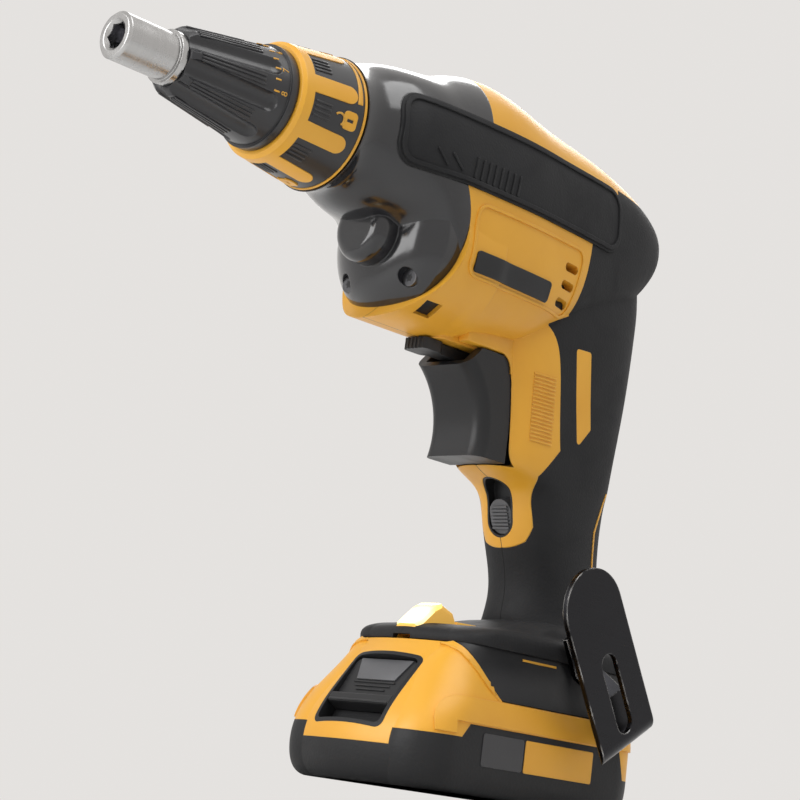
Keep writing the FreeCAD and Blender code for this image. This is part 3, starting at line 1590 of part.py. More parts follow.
def save(shape, name):
    """Write one node."""
    shape.exportStep("parts/" + name + ".step")
    print(name, "solids", len(shape.Solids), "volume", round(shape.Volume), "valid", shape.isValid())


def mirrored(shape):
    """The same shape on the other side of the middle plane."""
    return shape.mirror(Vector(0, 0, 0), AXIS_Y)


def cut_all(shape, pieces):
    """A shape less several others, one after the other."""
    for piece in pieces:
        shape = shape.cut(piece)
    return shape


def build_head():
    """Housing halves, gear case, rubber and everything cut from the common form."""
    region = front_region()
    left = half_space(1)
    sunk = head_form(-panel_wall)
    panel_room = panel_prism(1).cut(sunk)
    panel = head_form(panel_proud).common(panel_prism(1)).cut(sunk)
    outer = tool_form().common(left)
    rim = cylinder(rim_radius, split_centre_x - split_radius - 20, split_centre_x, 0,
                   motor_height).common(left)
    rubber = outer.cut(tool_form(-rubber_wall)).common(rubber_region()).cut(panel_room)
    hood = lamp_hood_form()
    opening = trigger_space().fuse(lever_space()).removeSplitter()
    shared = [opening, slider_slot(), catch_notch(), hood]
    yellow = outer.fuse([rim, lever_deck().common(left)]).cut(region).fuse(tongue().common(left))
    yellow = cut_all(yellow,
                     [vents(1), rim_slots(), motor_space(), switch_space(), control_module(False),
                      gear_case_screws(fit),
                              terminal_block(), panel_room] + shared).cut(rubber)
    rubber = cut_all(rubber, shared)
    screws = case_screws(fit).Solids
    save(cut_all(yellow, screws + [hook_screw(fit)]), "housing_left")
    save(rubber.cut(hook_screw(fit)), "handle_grip_left")
    save(panel, "side_grip_left")
    save(cut_all(mirrored(yellow), screws), "housing_right")
    save(cut_all(mirrored(rubber), screws), "handle_grip_right")
    save(mirrored(panel), "side_grip_right")
    gear = head_form().fuse(dome_form()).common(region)
    gear = gear.fuse(cylinder(tube_radius, neck_front - 1, neck_front + tube_length, 0, spindle_height))
    save(cut_all(gear,
                 [tube_bore(), motor_space(), panel_room, mirrored(panel_room), nut_slots(),
                  gear_case_screws(fit)]),
         "gear_case")
    skirts = foot_skirts()
    save(skirts.common(left), "foot_skirt_left")
    save(skirts.cut(left), "foot_skirt_right")
    lens = lens_form()
    board = lamp_board()
    save(lens, "lamp_lens")
    save(board, "lamp_board")
    save(hood.cut(lens).cut(board), "lamp_hood")


def build_battery():
    """Battery cases and what they hold."""
    form = battery_form()
    low = lower_region()
    room = cell_space()
    holes = battery_screws(fit)
    well = latch_well(0.0, recess_depth + tray_floor)
    lower = cut_all(form.common(low), [room, holes, well])
    upper = cut_all(form.cut(low), [room, holes, channel(), well, catch_room(), skirt_region(gap)])
    save(lower, "battery_lower")
    save(upper, "battery_upper")
    save(battery_cells(), "battery_cells")
    save(cell_holder(), "cell_holder")
    save(battery_board(), "battery_board")
    save(battery_contacts(), "battery_contacts")
    save(battery_screws(), "battery_screws")
    save(latch_button(), "latch_button")
    save(latch_tray(), "latch_tray")


def build_nose():
    """Collar, sleeve, clutch, spindle and socket."""
    save(collar_grip(), "collar_grip")
    save(lock_collar(), "lock_collar")
    save(torque_sleeve(), "torque_sleeve")
    save(spring_nut(), "spring_nut")
    save(clutch_springs(), "clutch_springs")
    save(clutch_plate(), "clutch_plate")
    save(nose_bushing(), "nose_bushing")
    save(spindle_bearings(), "spindle_bearings")
    save(spindle_shaft(), "spindle_shaft")
    save(drive_gear(), "drive_gear")
    save(bit_socket(), "bit_socket")
    save(socket_magnet(), "socket_magnet")


def build_motor():
    """Motor, fan and their bearings."""
    save(motor_stator(), "motor_stator")
    save(rotor_core(), "rotor_core")
    save(cooling_fan(), "cooling_fan")
    save(motor_shaft(), "motor_shaft")
    save(motor_bearings(), "motor_bearings")


def build_controls():
    """Trigger, lever, slider, switch, electronics, hook and screws."""
    save(trigger_form(), "trigger")
    save(direction_lever(), "direction_lever")
    save(lock_slider(), "lock_slider")
    save(slider_bed(), "slider_bed")
    save(switch_module(), "switch_module")
    save(control_module(), "control_module")
    save(terminal_block(), "terminal_block")
    save(terminal_blades(), "terminal_blades")
    save(belt_hook(), "belt_hook")
    save(hook_screw(), "belt_hook_screw")
    save(case_screws(), "case_screws")
    save(gear_case_screws(), "gear_case_screws")


build_nose()
build_motor()
build_controls()
build_battery()
build_head()
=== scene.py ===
# %% [markdown]
# # A cordless screw gun, finished in Blender
# The tool arrives as a frame of CAD solids: a pistol grip, a nose with a torque sleeve and a
# slide-on battery. They stay exactly where they are. This lesson gives every solid its finish, and
# adds the fine moulded details that sit on the solids: ridges, rims, marks and bare label plates.

# %% Load the frame
import bpy
import json
import math
from mathutils import Matrix, Vector


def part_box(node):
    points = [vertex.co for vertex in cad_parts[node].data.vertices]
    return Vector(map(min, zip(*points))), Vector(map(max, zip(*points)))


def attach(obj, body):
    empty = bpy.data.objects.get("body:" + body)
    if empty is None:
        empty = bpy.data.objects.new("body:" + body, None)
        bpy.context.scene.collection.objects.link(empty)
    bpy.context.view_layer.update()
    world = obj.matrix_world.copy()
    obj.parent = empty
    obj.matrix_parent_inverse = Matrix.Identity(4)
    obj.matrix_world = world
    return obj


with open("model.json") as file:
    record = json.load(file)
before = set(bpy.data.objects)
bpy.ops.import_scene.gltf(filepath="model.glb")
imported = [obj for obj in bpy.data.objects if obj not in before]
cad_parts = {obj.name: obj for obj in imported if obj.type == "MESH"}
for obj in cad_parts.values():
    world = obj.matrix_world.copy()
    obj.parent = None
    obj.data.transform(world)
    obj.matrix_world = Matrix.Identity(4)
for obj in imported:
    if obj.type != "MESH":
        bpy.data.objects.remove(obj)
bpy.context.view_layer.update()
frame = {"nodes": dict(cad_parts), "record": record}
solids = frame["nodes"]
MM = 0.001
print("solids:", len(solids))

# %% [markdown]
# ## Working by hand, in code
# An operator acts on whatever is selected, so each step first lets go of everything and then picks
# the piece it works on. A finished piece keeps its object at the origin and its place in its mesh.
# That is what `settle` does, and it keeps every pattern on Object coordinates where it belongs. A
# piece could be turned with the rotate operator, but a matrix turns about any point, with or
# without a window.

# %% Picking, settling and turning
def let_go():
    """Leave edit mode and deselect everything."""
    if bpy.context.mode != "OBJECT":
        bpy.ops.object.mode_set(mode="OBJECT")
    bpy.ops.object.select_all(action="DESELECT")


def pick(*pieces):
    """Select these pieces only, the first one active."""
    let_go()
    for piece in pieces:
        piece.select_set(True)
    bpy.context.view_layer.objects.active = pieces[0]


def settle(piece):
    """Move a piece's place, turn and scale into its mesh."""
    pick(piece)
    bpy.ops.object.transform_apply(location=True, rotation=True, scale=True)
    return piece


def turned(piece, angle, axis, centre):
    """Turn a piece by degrees about an axis through a point."""
    there = Matrix.Translation(centre)
    turn = Matrix.Rotation(math.radians(angle), 4, axis)
    piece.matrix_world = there @ turn @ there.inverted()
    return settle(piece)


print("ready to pick and place")

# %% [markdown]
# ## Copies, joins and modifiers
# What repeats is modelled once and copied, and the copies become one piece. Linked copies would
# share a mesh, so each copy gets its own. A modifier is set and applied at once: the finished piece
# is then a plain mesh that looks the same wherever the part is used.

# %% Copying, joining, editing and modifying
def copy_of(piece):
    """A copy with a mesh of its own."""
    pick(piece)
    bpy.ops.object.duplicate(linked=False)
    return bpy.context.object


def joined(name, pieces):
    """Several pieces as one."""
    pick(*pieces)
    bpy.ops.object.join()
    whole = bpy.context.object
    whole.name = name
    whole.data.name = name
    return whole


def edit(piece, whole=True):
    """Go into edit mode on one piece, with all of it selected or none of it."""
    pick(piece)
    bpy.ops.object.mode_set(mode="EDIT")
    bpy.ops.mesh.select_mode(type="FACE")
    bpy.ops.mesh.select_all(action="SELECT" if whole else "DESELECT")


def use(piece, kind, **settings):
    """Add a modifier, set it and apply it."""
    step = piece.modifiers.new("step", kind)
    for name, value in settings.items():
        setattr(step, name, value)
    pick(piece)
    bpy.ops.object.modifier_apply(modifier=step.name)
    return piece


print("ready to copy, join, edit and modify")

# %% [markdown]
# ## Nodes, placed and wired by short helpers
# A material is a tree of nodes. Placing a node, setting its sockets and wiring two of them together
# come back in every finish, so each has a helper. All patterns read Object coordinates, which need
# no UV map and have the same scale on every piece.

# %% Node helpers
def place(tree, kind, **settings):
    """A node with its properties set."""
    node = tree.nodes.new("ShaderNode" + kind)
    for name, value in settings.items():
        setattr(node, name, value)
    return node


def feed(node, **values):
    """Set the sockets of a node. An underscore stands for a space in a socket's name."""
    for label, value in values.items():
        node.inputs[label.replace("_", " ")].default_value = value
    return node


def reckon(tree, operation, *values, **settings):
    """A Math node on sockets and plain numbers."""
    node = place(tree, "Math", operation=operation, **settings)
    for socket, value in zip(node.inputs, values):
        if isinstance(value, float):
            socket.default_value = value
        else:
            tree.links.new(value, socket)
    return node.outputs[0]


def stretch(tree, value, low, high, to_low=0.0, to_high=1.0):
    """Map a value from one range to another, clamped."""
    node = place(tree, "MapRange")
    tree.links.new(value, node.inputs["Value"])
    feed(node, From_Min=low, From_Max=high, To_Min=to_low, To_Max=to_high)
    return node.outputs["Result"]


def object_noise(tree, **values):
    """A noise on Object coordinates."""
    noise = feed(place(tree, "TexNoise"), **values)
    tree.links.new(place(tree, "TexCoord").outputs["Object"], noise.inputs["Vector"])
    return noise


def fade_from(tree, middle, reach, shape):
    """A value that falls from 1 at a point to 0 at some reach from it, in metres."""
    spread = place(tree, "Mapping")
    spread.inputs["Location"].default_value = [-c / reach for c in middle]
    spread.inputs["Scale"].default_value = [1.0 / reach] * 3
    tree.links.new(place(tree, "TexCoord").outputs["Object"], spread.inputs["Vector"])
    fall = place(tree, "TexGradient", gradient_type=shape)
    tree.links.new(spread.outputs["Vector"], fall.inputs["Vector"])
    return fall.outputs["Fac"]


def new_group(name, inputs, outputs):
    """An empty shader group with named number inputs and typed outputs."""
    group = bpy.data.node_groups.new(name, "ShaderNodeTree")
    for label, value in inputs:
        socket = group.interface.new_socket(name=label, in_out="INPUT",
                                            socket_type="NodeSocketFloat")
        socket.default_value = value
    for label, kind in outputs:
        group.interface.new_socket(name=label, in_out="OUTPUT", socket_type="NodeSocket" + kind)
    return group, group.nodes.new("NodeGroupInput"), group.nodes.new("NodeGroupOutput")


print("node helpers ready")

# %% [markdown]
# ## Finishes: shared effects first
# Moulded plastic, rubber and steel share a few effects. Each could be built again in every
# material. As a node group it is built once, and each material sets its own numbers. The grain
# group gives a fine height for the bump and a slow tone for colour. The film group is the uneven
# film that use leaves.

# %% Grain and film
def grain_group():
    """Fine grain of a mould and a slow drift of tone."""
    group, inside, out = new_group("mould grain", (("Scale", 900.0), ("Tone scale", 22.0)),
                                   (("Height", "Float"), ("Tone", "Float")))
    fine = object_noise(group, Detail=3.0)
    slow = object_noise(group, Detail=4.0, Distortion=0.6)
    group.links.new(inside.outputs["Scale"], fine.inputs["Scale"])
    group.links.new(inside.outputs["Tone scale"], slow.inputs["Scale"])
    group.links.new(fine.outputs["Fac"], out.inputs["Height"])
    group.links.new(stretch(group, slow.outputs["Fac"], low=0.3, high=0.7), out.inputs["Tone"])
    return group


def film_group():
    """Uneven film of dust and use."""
    group, inside, out = new_group("handling film", (("Scale", 45.0), ("Amount", 0.5)),
                                   (("Mask", "Float"),))
    cloud = object_noise(group, Detail=6.0, Roughness=0.65, Distortion=1.2)
    group.links.new(inside.outputs["Scale"], cloud.inputs["Scale"])
    share = stretch(group, cloud.outputs["Fac"], low=0.45, high=0.75)
    level = reckon(group, "MULTIPLY", share, inside.outputs["Amount"])
    group.links.new(level, out.inputs["Mask"])
    return group


GRAIN, FILM = grain_group(), film_group()
print("groups:", GRAIN.name, "and", FILM.name)

# %% [markdown]
# ## Rubbed edges and the mould's seam
# The rub group compares the true normal with a rounded one. They differ only near an edge, where
# use rubs a tool bright, and the rounded normal also gives hard CAD edges the small radius that a
# mould leaves. The seam group marks the line where the two halves of the clamshell meet, which is
# too thin to model.

# %% Rub and seam
def rub_group():
    """Where edges are rubbed, and a normal with small rounded edges."""
    group, inside, out = new_group("edge rub", (("Radius", 0.0005), ("Reach", 0.25)),
                                   (("Mask", "Float"), ("Normal", "Vector")))
    rounded = place(group, "Bevel", samples=4)
    group.links.new(inside.outputs["Radius"], rounded.inputs["Radius"])
    true = place(group, "NewGeometry")
    same = place(group, "VectorMath", operation="DOT_PRODUCT")
    group.links.new(rounded.outputs["Normal"], same.inputs[0])
    group.links.new(true.outputs["Normal"], same.inputs[1])
    apart = reckon(group, "SUBTRACT", 1.0, same.outputs["Value"])
    share = reckon(group, "DIVIDE", apart, inside.outputs["Reach"], use_clamp=True)
    patchy = object_noise(group, Scale=160.0, Detail=5.0)
    patches = stretch(group, patchy.outputs["Fac"], low=0.4, high=0.62)
    group.links.new(reckon(group, "MULTIPLY", share, patches), out.inputs["Mask"])
    group.links.new(rounded.outputs["Normal"], out.inputs["Normal"])
    return group


def seam_group():
    """A thin line on the middle plane, where two mouldings meet."""
    group, inside, out = new_group("mould seam", (("Half width", 0.00018),), (("Mask", "Float"),))
    parts = place(group, "SeparateXYZ")
    group.links.new(place(group, "TexCoord").outputs["Object"], parts.inputs[0])
    off = reckon(group, "ABSOLUTE", parts.outputs["Y"])
    line = reckon(group, "LESS_THAN", off, inside.outputs["Half width"])
    group.links.new(line, out.inputs["Mask"])
    return group


RUB, SEAM = rub_group(), seam_group()
print("groups:", RUB.name, "and", SEAM.name)

# %% [markdown]
# ## Moulded plastic and rubber
# One recipe makes every moulding: two near tones drift over the part, edges are rubbed lighter, a
# film changes the roughness, and the grain of the mould is a bump. Bump is enough for grain,
# because it is far finer than any mesh. Each finish has its own values. A yellow housing is satin,
# the gear case is nearly polished, and the rubber of the grip has a coarse matt stipple.

# %% The moulding recipe
BUMP_STRENGTH, COAT_ROUGHNESS, SEAM_SHADE, FILM_FULL = 0.7, 0.12, 0.25, 0.5


def blend_colour(tree, mask, first, second):
    """Mix two colours, given as sockets or as values, by a mask."""
    node = place(tree, "Mix", data_type="RGBA")
    tree.links.new(mask, node.inputs["Factor"])
    for socket, colour in ((node.inputs[6], first), (node.inputs[7], second)):
        if isinstance(colour, tuple):
            socket.default_value = (*colour, 1.0)
        else:
            tree.links.new(colour, socket)
    return node.outputs[2]


def group_node(tree, group, **values):
    """Place a shared effect with its own numbers."""
    return feed(place(tree, "Group", node_tree=group), **values)


def blank(name):
    """A new material, its tree and its shader."""
    material = bpy.data.materials.new(name)
    material.use_nodes = True
    return material, material.node_tree, material.node_tree.nodes["Principled BSDF"]


def emboss(tree, shader, height, rub, **values):
    """Bump a shader by a height, over the normal with rounded edges."""
    bump = feed(place(tree, "Bump"), **values)
    tree.links.new(height, bump.inputs["Height"])
    tree.links.new(rub.outputs["Normal"], bump.inputs["Normal"])
    tree.links.new(bump.outputs["Normal"], shader.inputs["Normal"])


def moulding(name, colour, shade, rubbed, rough=0.42, grain=900.0, depth=0.00004, radius=0.0005,
             wear=0.35, seam=False, coat=0.0, stipple=0.0, smear=0.12, gloss=0.5):
    """A moulded plastic or rubber finish. Depth and radius are in metres."""
    material, tree, shader = blank(name)
    fine = group_node(tree, GRAIN, Scale=grain)
    rub = group_node(tree, RUB, Radius=radius, Reach=wear)
    film = group_node(tree, FILM)
    tint = blend_colour(tree, fine.outputs["Tone"], colour, shade)
    tint = blend_colour(tree, rub.outputs["Mask"], tint, rubbed)
    if seam:
        line = group_node(tree, SEAM)
        tint = blend_colour(tree, line.outputs["Mask"], tint, tuple(SEAM_SHADE * c for c in shade))
    tree.links.new(tint, shader.inputs["Base Color"])
    uneven = stretch(tree, film.outputs["Mask"], 0.0, FILM_FULL, rough, min(1.0, rough + smear))
    tree.links.new(uneven, shader.inputs["Roughness"])
    height = fine.outputs["Height"]
    if stipple:
        pits = feed(place(tree, "TexVoronoi", feature="SMOOTH_F1"), Scale=stipple)
        tree.links.new(place(tree, "TexCoord").outputs["Object"], pits.inputs["Vector"])
        height = pits.outputs["Distance"]
    emboss(tree, shader, height, rub, Strength=BUMP_STRENGTH, Distance=depth)
    feed(shader, Specular_IOR_Level=gloss, Coat_Weight=coat, Coat_Roughness=COAT_ROUGHNESS)
    return material


print("moulding recipe ready")

# %% [markdown]
# ## The tool's plastics and rubbers
# Every finish has three colours: its own, a near shade that it drifts to, and the lighter one of a
# rubbed edge. The names on the left are the slots that the CAD solids ask for.

# %% Plastics and rubbers of the tool
YELLOWS = (0.80, 0.40, 0.035), (0.74, 0.35, 0.027), (0.86, 0.52, 0.12)
finishes = {
    "yellow_housing": moulding("yellow housing", *YELLOWS, rough=0.38, seam=True),
    "yellow_battery": moulding("yellow battery case", *YELLOWS, rough=0.40),
    "yellow_collar": moulding("yellow collar", (0.82, 0.42, 0.04), *YELLOWS[1:], rough=0.34),
    "black_case": moulding(
        "polished black gear case", (0.010, 0.010, 0.012), (0.014, 0.014, 0.016),
        (0.05, 0.05, 0.055), rough=0.13, grain=500.0, depth=0.00002, radius=0.0008, coat=0.5,
        smear=0.16),
    "black_rubber": moulding(
        "stippled grip rubber", (0.016, 0.016, 0.017), (0.022, 0.022, 0.023), (0.06, 0.06, 0.06),
        rough=0.62, depth=0.00012, radius=0.0007, seam=True, stipple=1300.0, gloss=0.2),
    "black_plastic": moulding(
        "black moulded plastic", (0.014, 0.014, 0.015), (0.02, 0.02, 0.021), (0.07, 0.07, 0.07),
        rough=0.36, gloss=0.3),
    "grey_plastic": moulding(
        "grey slider plastic", (0.085, 0.085, 0.09), (0.105, 0.105, 0.11), (0.2, 0.2, 0.2),
        rough=0.42, radius=0.0003),
    "collar_moulding": moulding(
        "black collar moulding", (0.013, 0.013, 0.015), (0.018, 0.018, 0.02), (0.06, 0.06, 0.06),
        rough=0.32, coat=0.2),
    "black_sleeve": moulding(
        "black torque sleeve", (0.012, 0.012, 0.014), (0.018, 0.018, 0.021), (0.08, 0.08, 0.085),
        rough=0.28, coat=0.25),
    "black_battery": moulding(
        "grained battery base", (0.013, 0.013, 0.014), (0.018, 0.018, 0.019), (0.05, 0.05, 0.05),
        rough=0.5, depth=0.00008, stipple=1000.0, gloss=0.25),
    "board_green": moulding(
        "circuit board", (0.02, 0.12, 0.05), (0.015, 0.09, 0.04), (0.1, 0.3, 0.15), rough=0.3),
    "cell_wrap": moulding(
        "cell wrap", (0.03, 0.12, 0.32), (0.04, 0.14, 0.36), (0.1, 0.25, 0.5), rough=0.3),
}
print("mouldings:", len(finishes))

# %% [markdown]
# ## Metal
# The socket is turned and plated, so its fine lines run round the axis and only change along X. The
# hook is black-nickel strip whose edges shine where the coating is rubbed through. Lines could be
# modelled or drawn as a wave, but a noise that is stretched in one direction looks less regular, as
# turning, rolling or grinding does.

# %% The metal recipe
LINE_SHADE, METAL_FILM_SCALE, METAL_FILM = 0.8, 70.0, 0.7


def metal(name, colour, rubbed, rough, lines=(2600.0, 30.0, 30.0), depth=0.000012, radius=0.0005,
          wear=0.3, smear=0.14):
    """A worked metal finish with lines in one direction and rubbed edges."""
    material, tree, shader = blank(name)
    run = place(tree, "Mapping")
    run.inputs["Scale"].default_value = lines
    tree.links.new(place(tree, "TexCoord").outputs["Object"], run.inputs["Vector"])
    strokes = feed(place(tree, "TexNoise"), Scale=1.0, Detail=4.0)
    tree.links.new(run.outputs["Vector"], strokes.inputs["Vector"])
    rub = group_node(tree, RUB, Radius=radius, Reach=wear)
    film = group_node(tree, FILM, Scale=METAL_FILM_SCALE, Amount=METAL_FILM)
    shade = tuple(LINE_SHADE * c for c in colour)
    tint = blend_colour(tree, strokes.outputs["Fac"], colour, shade)
    tint = blend_colour(tree, rub.outputs["Mask"], tint, rubbed)
    tree.links.new(tint, shader.inputs["Base Color"])
    uneven = stretch(tree, film.outputs["Mask"], 0.0, METAL_FILM, rough, rough + smear)
    tree.links.new(uneven, shader.inputs["Roughness"])
    feed(shader, Metallic=1.0)
    emboss(tree, shader, strokes.outputs["Fac"], rub, Distance=depth)
    return material


finishes.update({
    "bright_steel": metal("turned bright steel", (0.52, 0.515, 0.51), (0.75, 0.75, 0.75),
                          rough=0.2),
    "gear_steel": metal("machined gear steel", (0.5, 0.5, 0.52), (0.7, 0.7, 0.7), rough=0.3),
    "bearing_steel": metal("ground bearing steel", (0.58, 0.58, 0.6), (0.75, 0.75, 0.75),
                           rough=0.22),
    "spring_steel": metal("blued spring steel", (0.2, 0.2, 0.24), (0.5, 0.5, 0.52), rough=0.32),
    "bronze": metal("bearing bronze", (0.55, 0.34, 0.14), (0.7, 0.48, 0.22), rough=0.35),
    "contact_metal": metal("plated contacts", (0.72, 0.54, 0.24), (0.85, 0.7, 0.4), rough=0.25),
    "core_iron": metal("laminated core", (0.16, 0.16, 0.17), (0.35, 0.35, 0.36), rough=0.45,
                       lines=(2000.0, 20.0, 20.0)),
    "sink_metal": metal("cast heat sink", (0.45, 0.46, 0.48), (0.6, 0.6, 0.62), rough=0.48,
                        lines=(300.0, 300.0, 300.0)),
    "hook_steel": metal("black nickel hook", (0.03, 0.03, 0.033), (0.55, 0.54, 0.53), rough=0.26,
                        lines=(60.0, 60.0, 1500.0), radius=0.0007, wear=0.12),
    "screw_steel": metal("blackened screws", (0.1, 0.1, 0.105), (0.45, 0.45, 0.45), rough=0.36,
                         lines=(900.0, 900.0, 900.0)),
})
print("finishes so far:", len(finishes))

# %% [markdown]
# ## Lamp
# A white lamp sits behind a clear window, under a tinted hood, and it is lit. A lamp object inside
# the part would light whatever scene it is used in, so the window glows by itself instead: it
# carries a warm emission that is palest in its middle. The hood glows a little too, because light
# leaks through its thin wall.

# %% Lamp finishes
hood_finish = moulding("tinted lamp hood", (0.85, 0.5, 0.08), (0.8, 0.44, 0.06), (0.95, 0.75, 0.3),
                       rough=0.34, coat=0.1)
feed(hood_finish.node_tree.nodes["Principled BSDF"],
     Emission_Color=(1.0, 0.55, 0.12, 1.0), Emission_Strength=0.3)
finishes["amber_hood"] = hood_finish

LENS_MIDDLE, LENS_REACH = (0.0315, 0.0, 0.0605), 0.0095
PALE_LIGHT, WARM_LIGHT, AMBER_LIGHT = (1.0, 0.97, 0.86), (1.0, 0.9, 0.66), (1.0, 0.66, 0.16)
lens_finish, lens_tree, lens_shader = blank("lit lamp window")
lens_cells = feed(place(lens_tree, "TexVoronoi"), Scale=420.0)
lens_tree.links.new(place(lens_tree, "TexCoord").outputs["Object"], lens_cells.inputs["Vector"])
lens_core = blend_colour(lens_tree, lens_cells.outputs["Distance"], PALE_LIGHT, WARM_LIGHT)
lens_fade = fade_from(lens_tree, LENS_MIDDLE, LENS_REACH, "QUADRATIC_SPHERE")
lens_share = stretch(lens_tree, lens_fade, low=0.0, high=0.4)
lens_glow = blend_colour(lens_tree, lens_share, AMBER_LIGHT, lens_core)
lens_tree.links.new(lens_glow, lens_shader.inputs["Emission Color"])
lens_tree.links.new(lens_glow, lens_shader.inputs["Base Color"])
feed(lens_shader, Emission_Strength=1.3, Roughness=0.1)
finishes["lens_clear"] = lens_finish
print("lamp finishes:", hood_finish.name, "and", lens_finish.name)

# %% [markdown]
# ## Finishes on the solids
# The record says which slot each solid has, so a loop hands out the finishes.

# %% Hand out the finishes
for entry in frame["record"]["subparts"]:
    for holder in solids[entry["node"]].material_slots:
        holder.material = finishes[entry["material_slot"]]
print("finishes:", len(finishes), "on", len(solids), "solids")

# %% [markdown]
# ## Pieces that lie on a curved side
# A label plate or a rim is flat when it is cut and then follows the side of the housing. It could
# be modelled curved from the start, but then its outline has to be worked out twice. Here a plane
# gets round corners, is sliced into small faces with bisect, and is dropped sideways onto the solid
# with Shrinkwrap. Solidify then gives it a wall. Projecting straight sideways keeps the outline as
# drawn.

# %% Flat pieces
SIDES = (("left", 1), ("right", -1))
BESIDE = 60


def flat_plate(name, span, side, corner=0):
    """A rounded rectangle beside the tool, facing out. Its span is x0, x1, z0, z1 in mm."""
    x0, x1, z0, z1 = span
    middle = ((x0 + x1) / 2 * MM, side * BESIDE * MM, (z0 + z1) / 2 * MM)
    let_go()
    bpy.ops.mesh.primitive_plane_add(size=1, location=middle, rotation=(-side * math.pi / 2, 0, 0))
    piece = bpy.context.object
    piece.name = name
    piece.scale = ((x1 - x0) * MM, (z1 - z0) * MM, 1)
    settle(piece)
    if corner:
        edit(piece)
        bpy.ops.mesh.bevel(offset=corner * MM, segments=6, affect="VERTICES")
    let_go()
    return piece


def leaning_plate(name, span, side, lean):
    """A flat piece turned about its own middle by degrees."""
    x0, x1, z0, z1 = span
    middle = Vector(((x0 + x1) / 2, 0, (z0 + z1) / 2)) * MM
    return turned(flat_plate(name, span, side), lean, "Y", middle)


def hollow_out(piece, width):
    """Leave only a rim of a flat piece."""
    edit(piece)
    bpy.ops.mesh.inset(thickness=width * MM)
    bpy.ops.mesh.delete(type="FACE")
    let_go()
    return piece


def row_of(piece, count, step_x, step_z=0):
    """Repeat a piece in a row with steps in millimetres."""
    return use(piece, "ARRAY", count=count, use_relative_offset=False, use_constant_offset=True,
               constant_offset_displace=(step_x * MM, 0, step_z * MM))


def slice_up(piece, step):
    """Cut a flat piece into small faces along X and Z."""
    spots = [v.co for v in piece.data.vertices]
    spans = {axis: (min(s[axis] for s in spots), max(s[axis] for s in spots)) for axis in (0, 2)}
    edit(piece)
    for axis, (low, high) in spans.items():
        cuts = int((high - low) / (step * MM))
        facing = Vector((0.0, 0.0, 0.0))
        facing[axis] = 1.0
        for k in range(cuts):
            spot = facing * (low + (high - low) * (k + 1) / (cuts + 1))
            bpy.ops.mesh.select_all(action="SELECT")
            bpy.ops.mesh.bisect(plane_co=spot, plane_no=facing)
    let_go()
    return piece


print("flat pieces start", BESIDE, "mm from the middle plane")

# %% The fall onto a side, and the last touch
SMOOTH_ANGLE = 32


def drop_on(piece, solid, side, lift, wall, calm=0):
    """Drop a flat piece sideways onto a solid, calm its small steps and give it a wall."""
    use(piece, "SHRINKWRAP", target=solids[solid], wrap_method="PROJECT", use_project_y=True,
        use_negative_direction=side > 0, use_positive_direction=side < 0, offset=lift * MM)
    if calm:
        use(piece, "SMOOTH", factor=0.5, iterations=calm, use_x=False, use_z=False)
    return use(piece, "SOLIDIFY", thickness=wall * MM, offset=1.0)


def done(piece, body, slot, finish=None):
    """Shade a piece, give it its finish and let it ride on a body."""
    pick(piece)
    bpy.ops.object.shade_smooth_by_angle(angle=math.radians(SMOOTH_ANGLE))
    piece.data.materials.clear()
    piece.data.materials.append(finish or finishes[slot])
    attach(piece, body)
    print(piece.name, "faces:", len(piece.data.polygons))


print("edges sharper than", SMOOTH_ANGLE, "degrees stay sharp")

# %% [markdown]
# ## Label panel on the head
# Each side of the head has a framed panel: a low rim in the housing's own yellow, and a dark plate
# in its lower half. Both stay bare. The side of the head is made of several curved faces, so the
# dropped pieces are smoothed sideways to lie calm across them.

# %% Label rims and bare plates
RIM_SPAN, PLATE_SPAN = (-6.0, 57.8, 177.9, 204.6), (11.5, 55, 179.9, 187.6)
for word, side in SIDES:
    home = "housing_" + word
    rim = hollow_out(flat_plate("label_rim_" + word, RIM_SPAN, side, corner=5.0), width=1.1)
    rim = drop_on(slice_up(rim, step=2.0), home, side, lift=-0.3, wall=0.85, calm=8)
    done(rim, "tool_body", "yellow_housing")
    tag = slice_up(flat_plate("label_plate_" + word, PLATE_SPAN, side, corner=1.5), step=1.4)
    done(drop_on(tag, home, side, lift=-0.1, wall=0.7, calm=16), "tool_body", "black_plastic")

# %% [markdown]
# ## Rubber side panels
# The long rubber panel is a bumper for the tool when it lies on its side. A raised bead runs round
# its edge, and a row of fine upright ribs with two slanted strokes is moulded into its middle. The
# ribs would be lost in a bump, so they are pieces too: one rib, an Array, and then the same fall.

# %% Beads and ribs of the side panels
BEAD_SPAN = (-27, 95, 209.5, 234)
RIB_SPAN, RIB_LEAN, RIB_COUNT, RIB_STEP = (61.7, 62.5, 211.4, 219.4), -8, 8, -3.26
STROKE_PLACES, STROKE_LEAN, STROKE_HALF = (77.8, 71.1), 47, 0.4
STROKE_LOW, STROKE_HIGH = 211.5, 218.6
for word, side in SIDES:
    home = "side_grip_" + word
    bead = hollow_out(flat_plate("panel_bead_" + word, BEAD_SPAN, side, corner=7.0), width=1.6)
    bead = drop_on(slice_up(bead, step=4.0), home, side, lift=-0.3, wall=1.0)
    done(bead, "tool_body", "black_rubber")
    rib = leaning_plate("panel_ribs_" + word, RIB_SPAN, side, RIB_LEAN)
    ribs = [row_of(rib, RIB_COUNT, RIB_STEP)]
    for x in STROKE_PLACES:
        span = (x - STROKE_HALF, x + STROKE_HALF, STROKE_LOW, STROKE_HIGH)
        ribs.append(leaning_plate("panel_stroke", span, side, STROKE_LEAN))
    ribs = slice_up(joined("panel_ribs_" + word, ribs), step=3.0)
    done(drop_on(ribs, home, side, lift=-0.2, wall=0.7), "tool_body", "black_rubber")

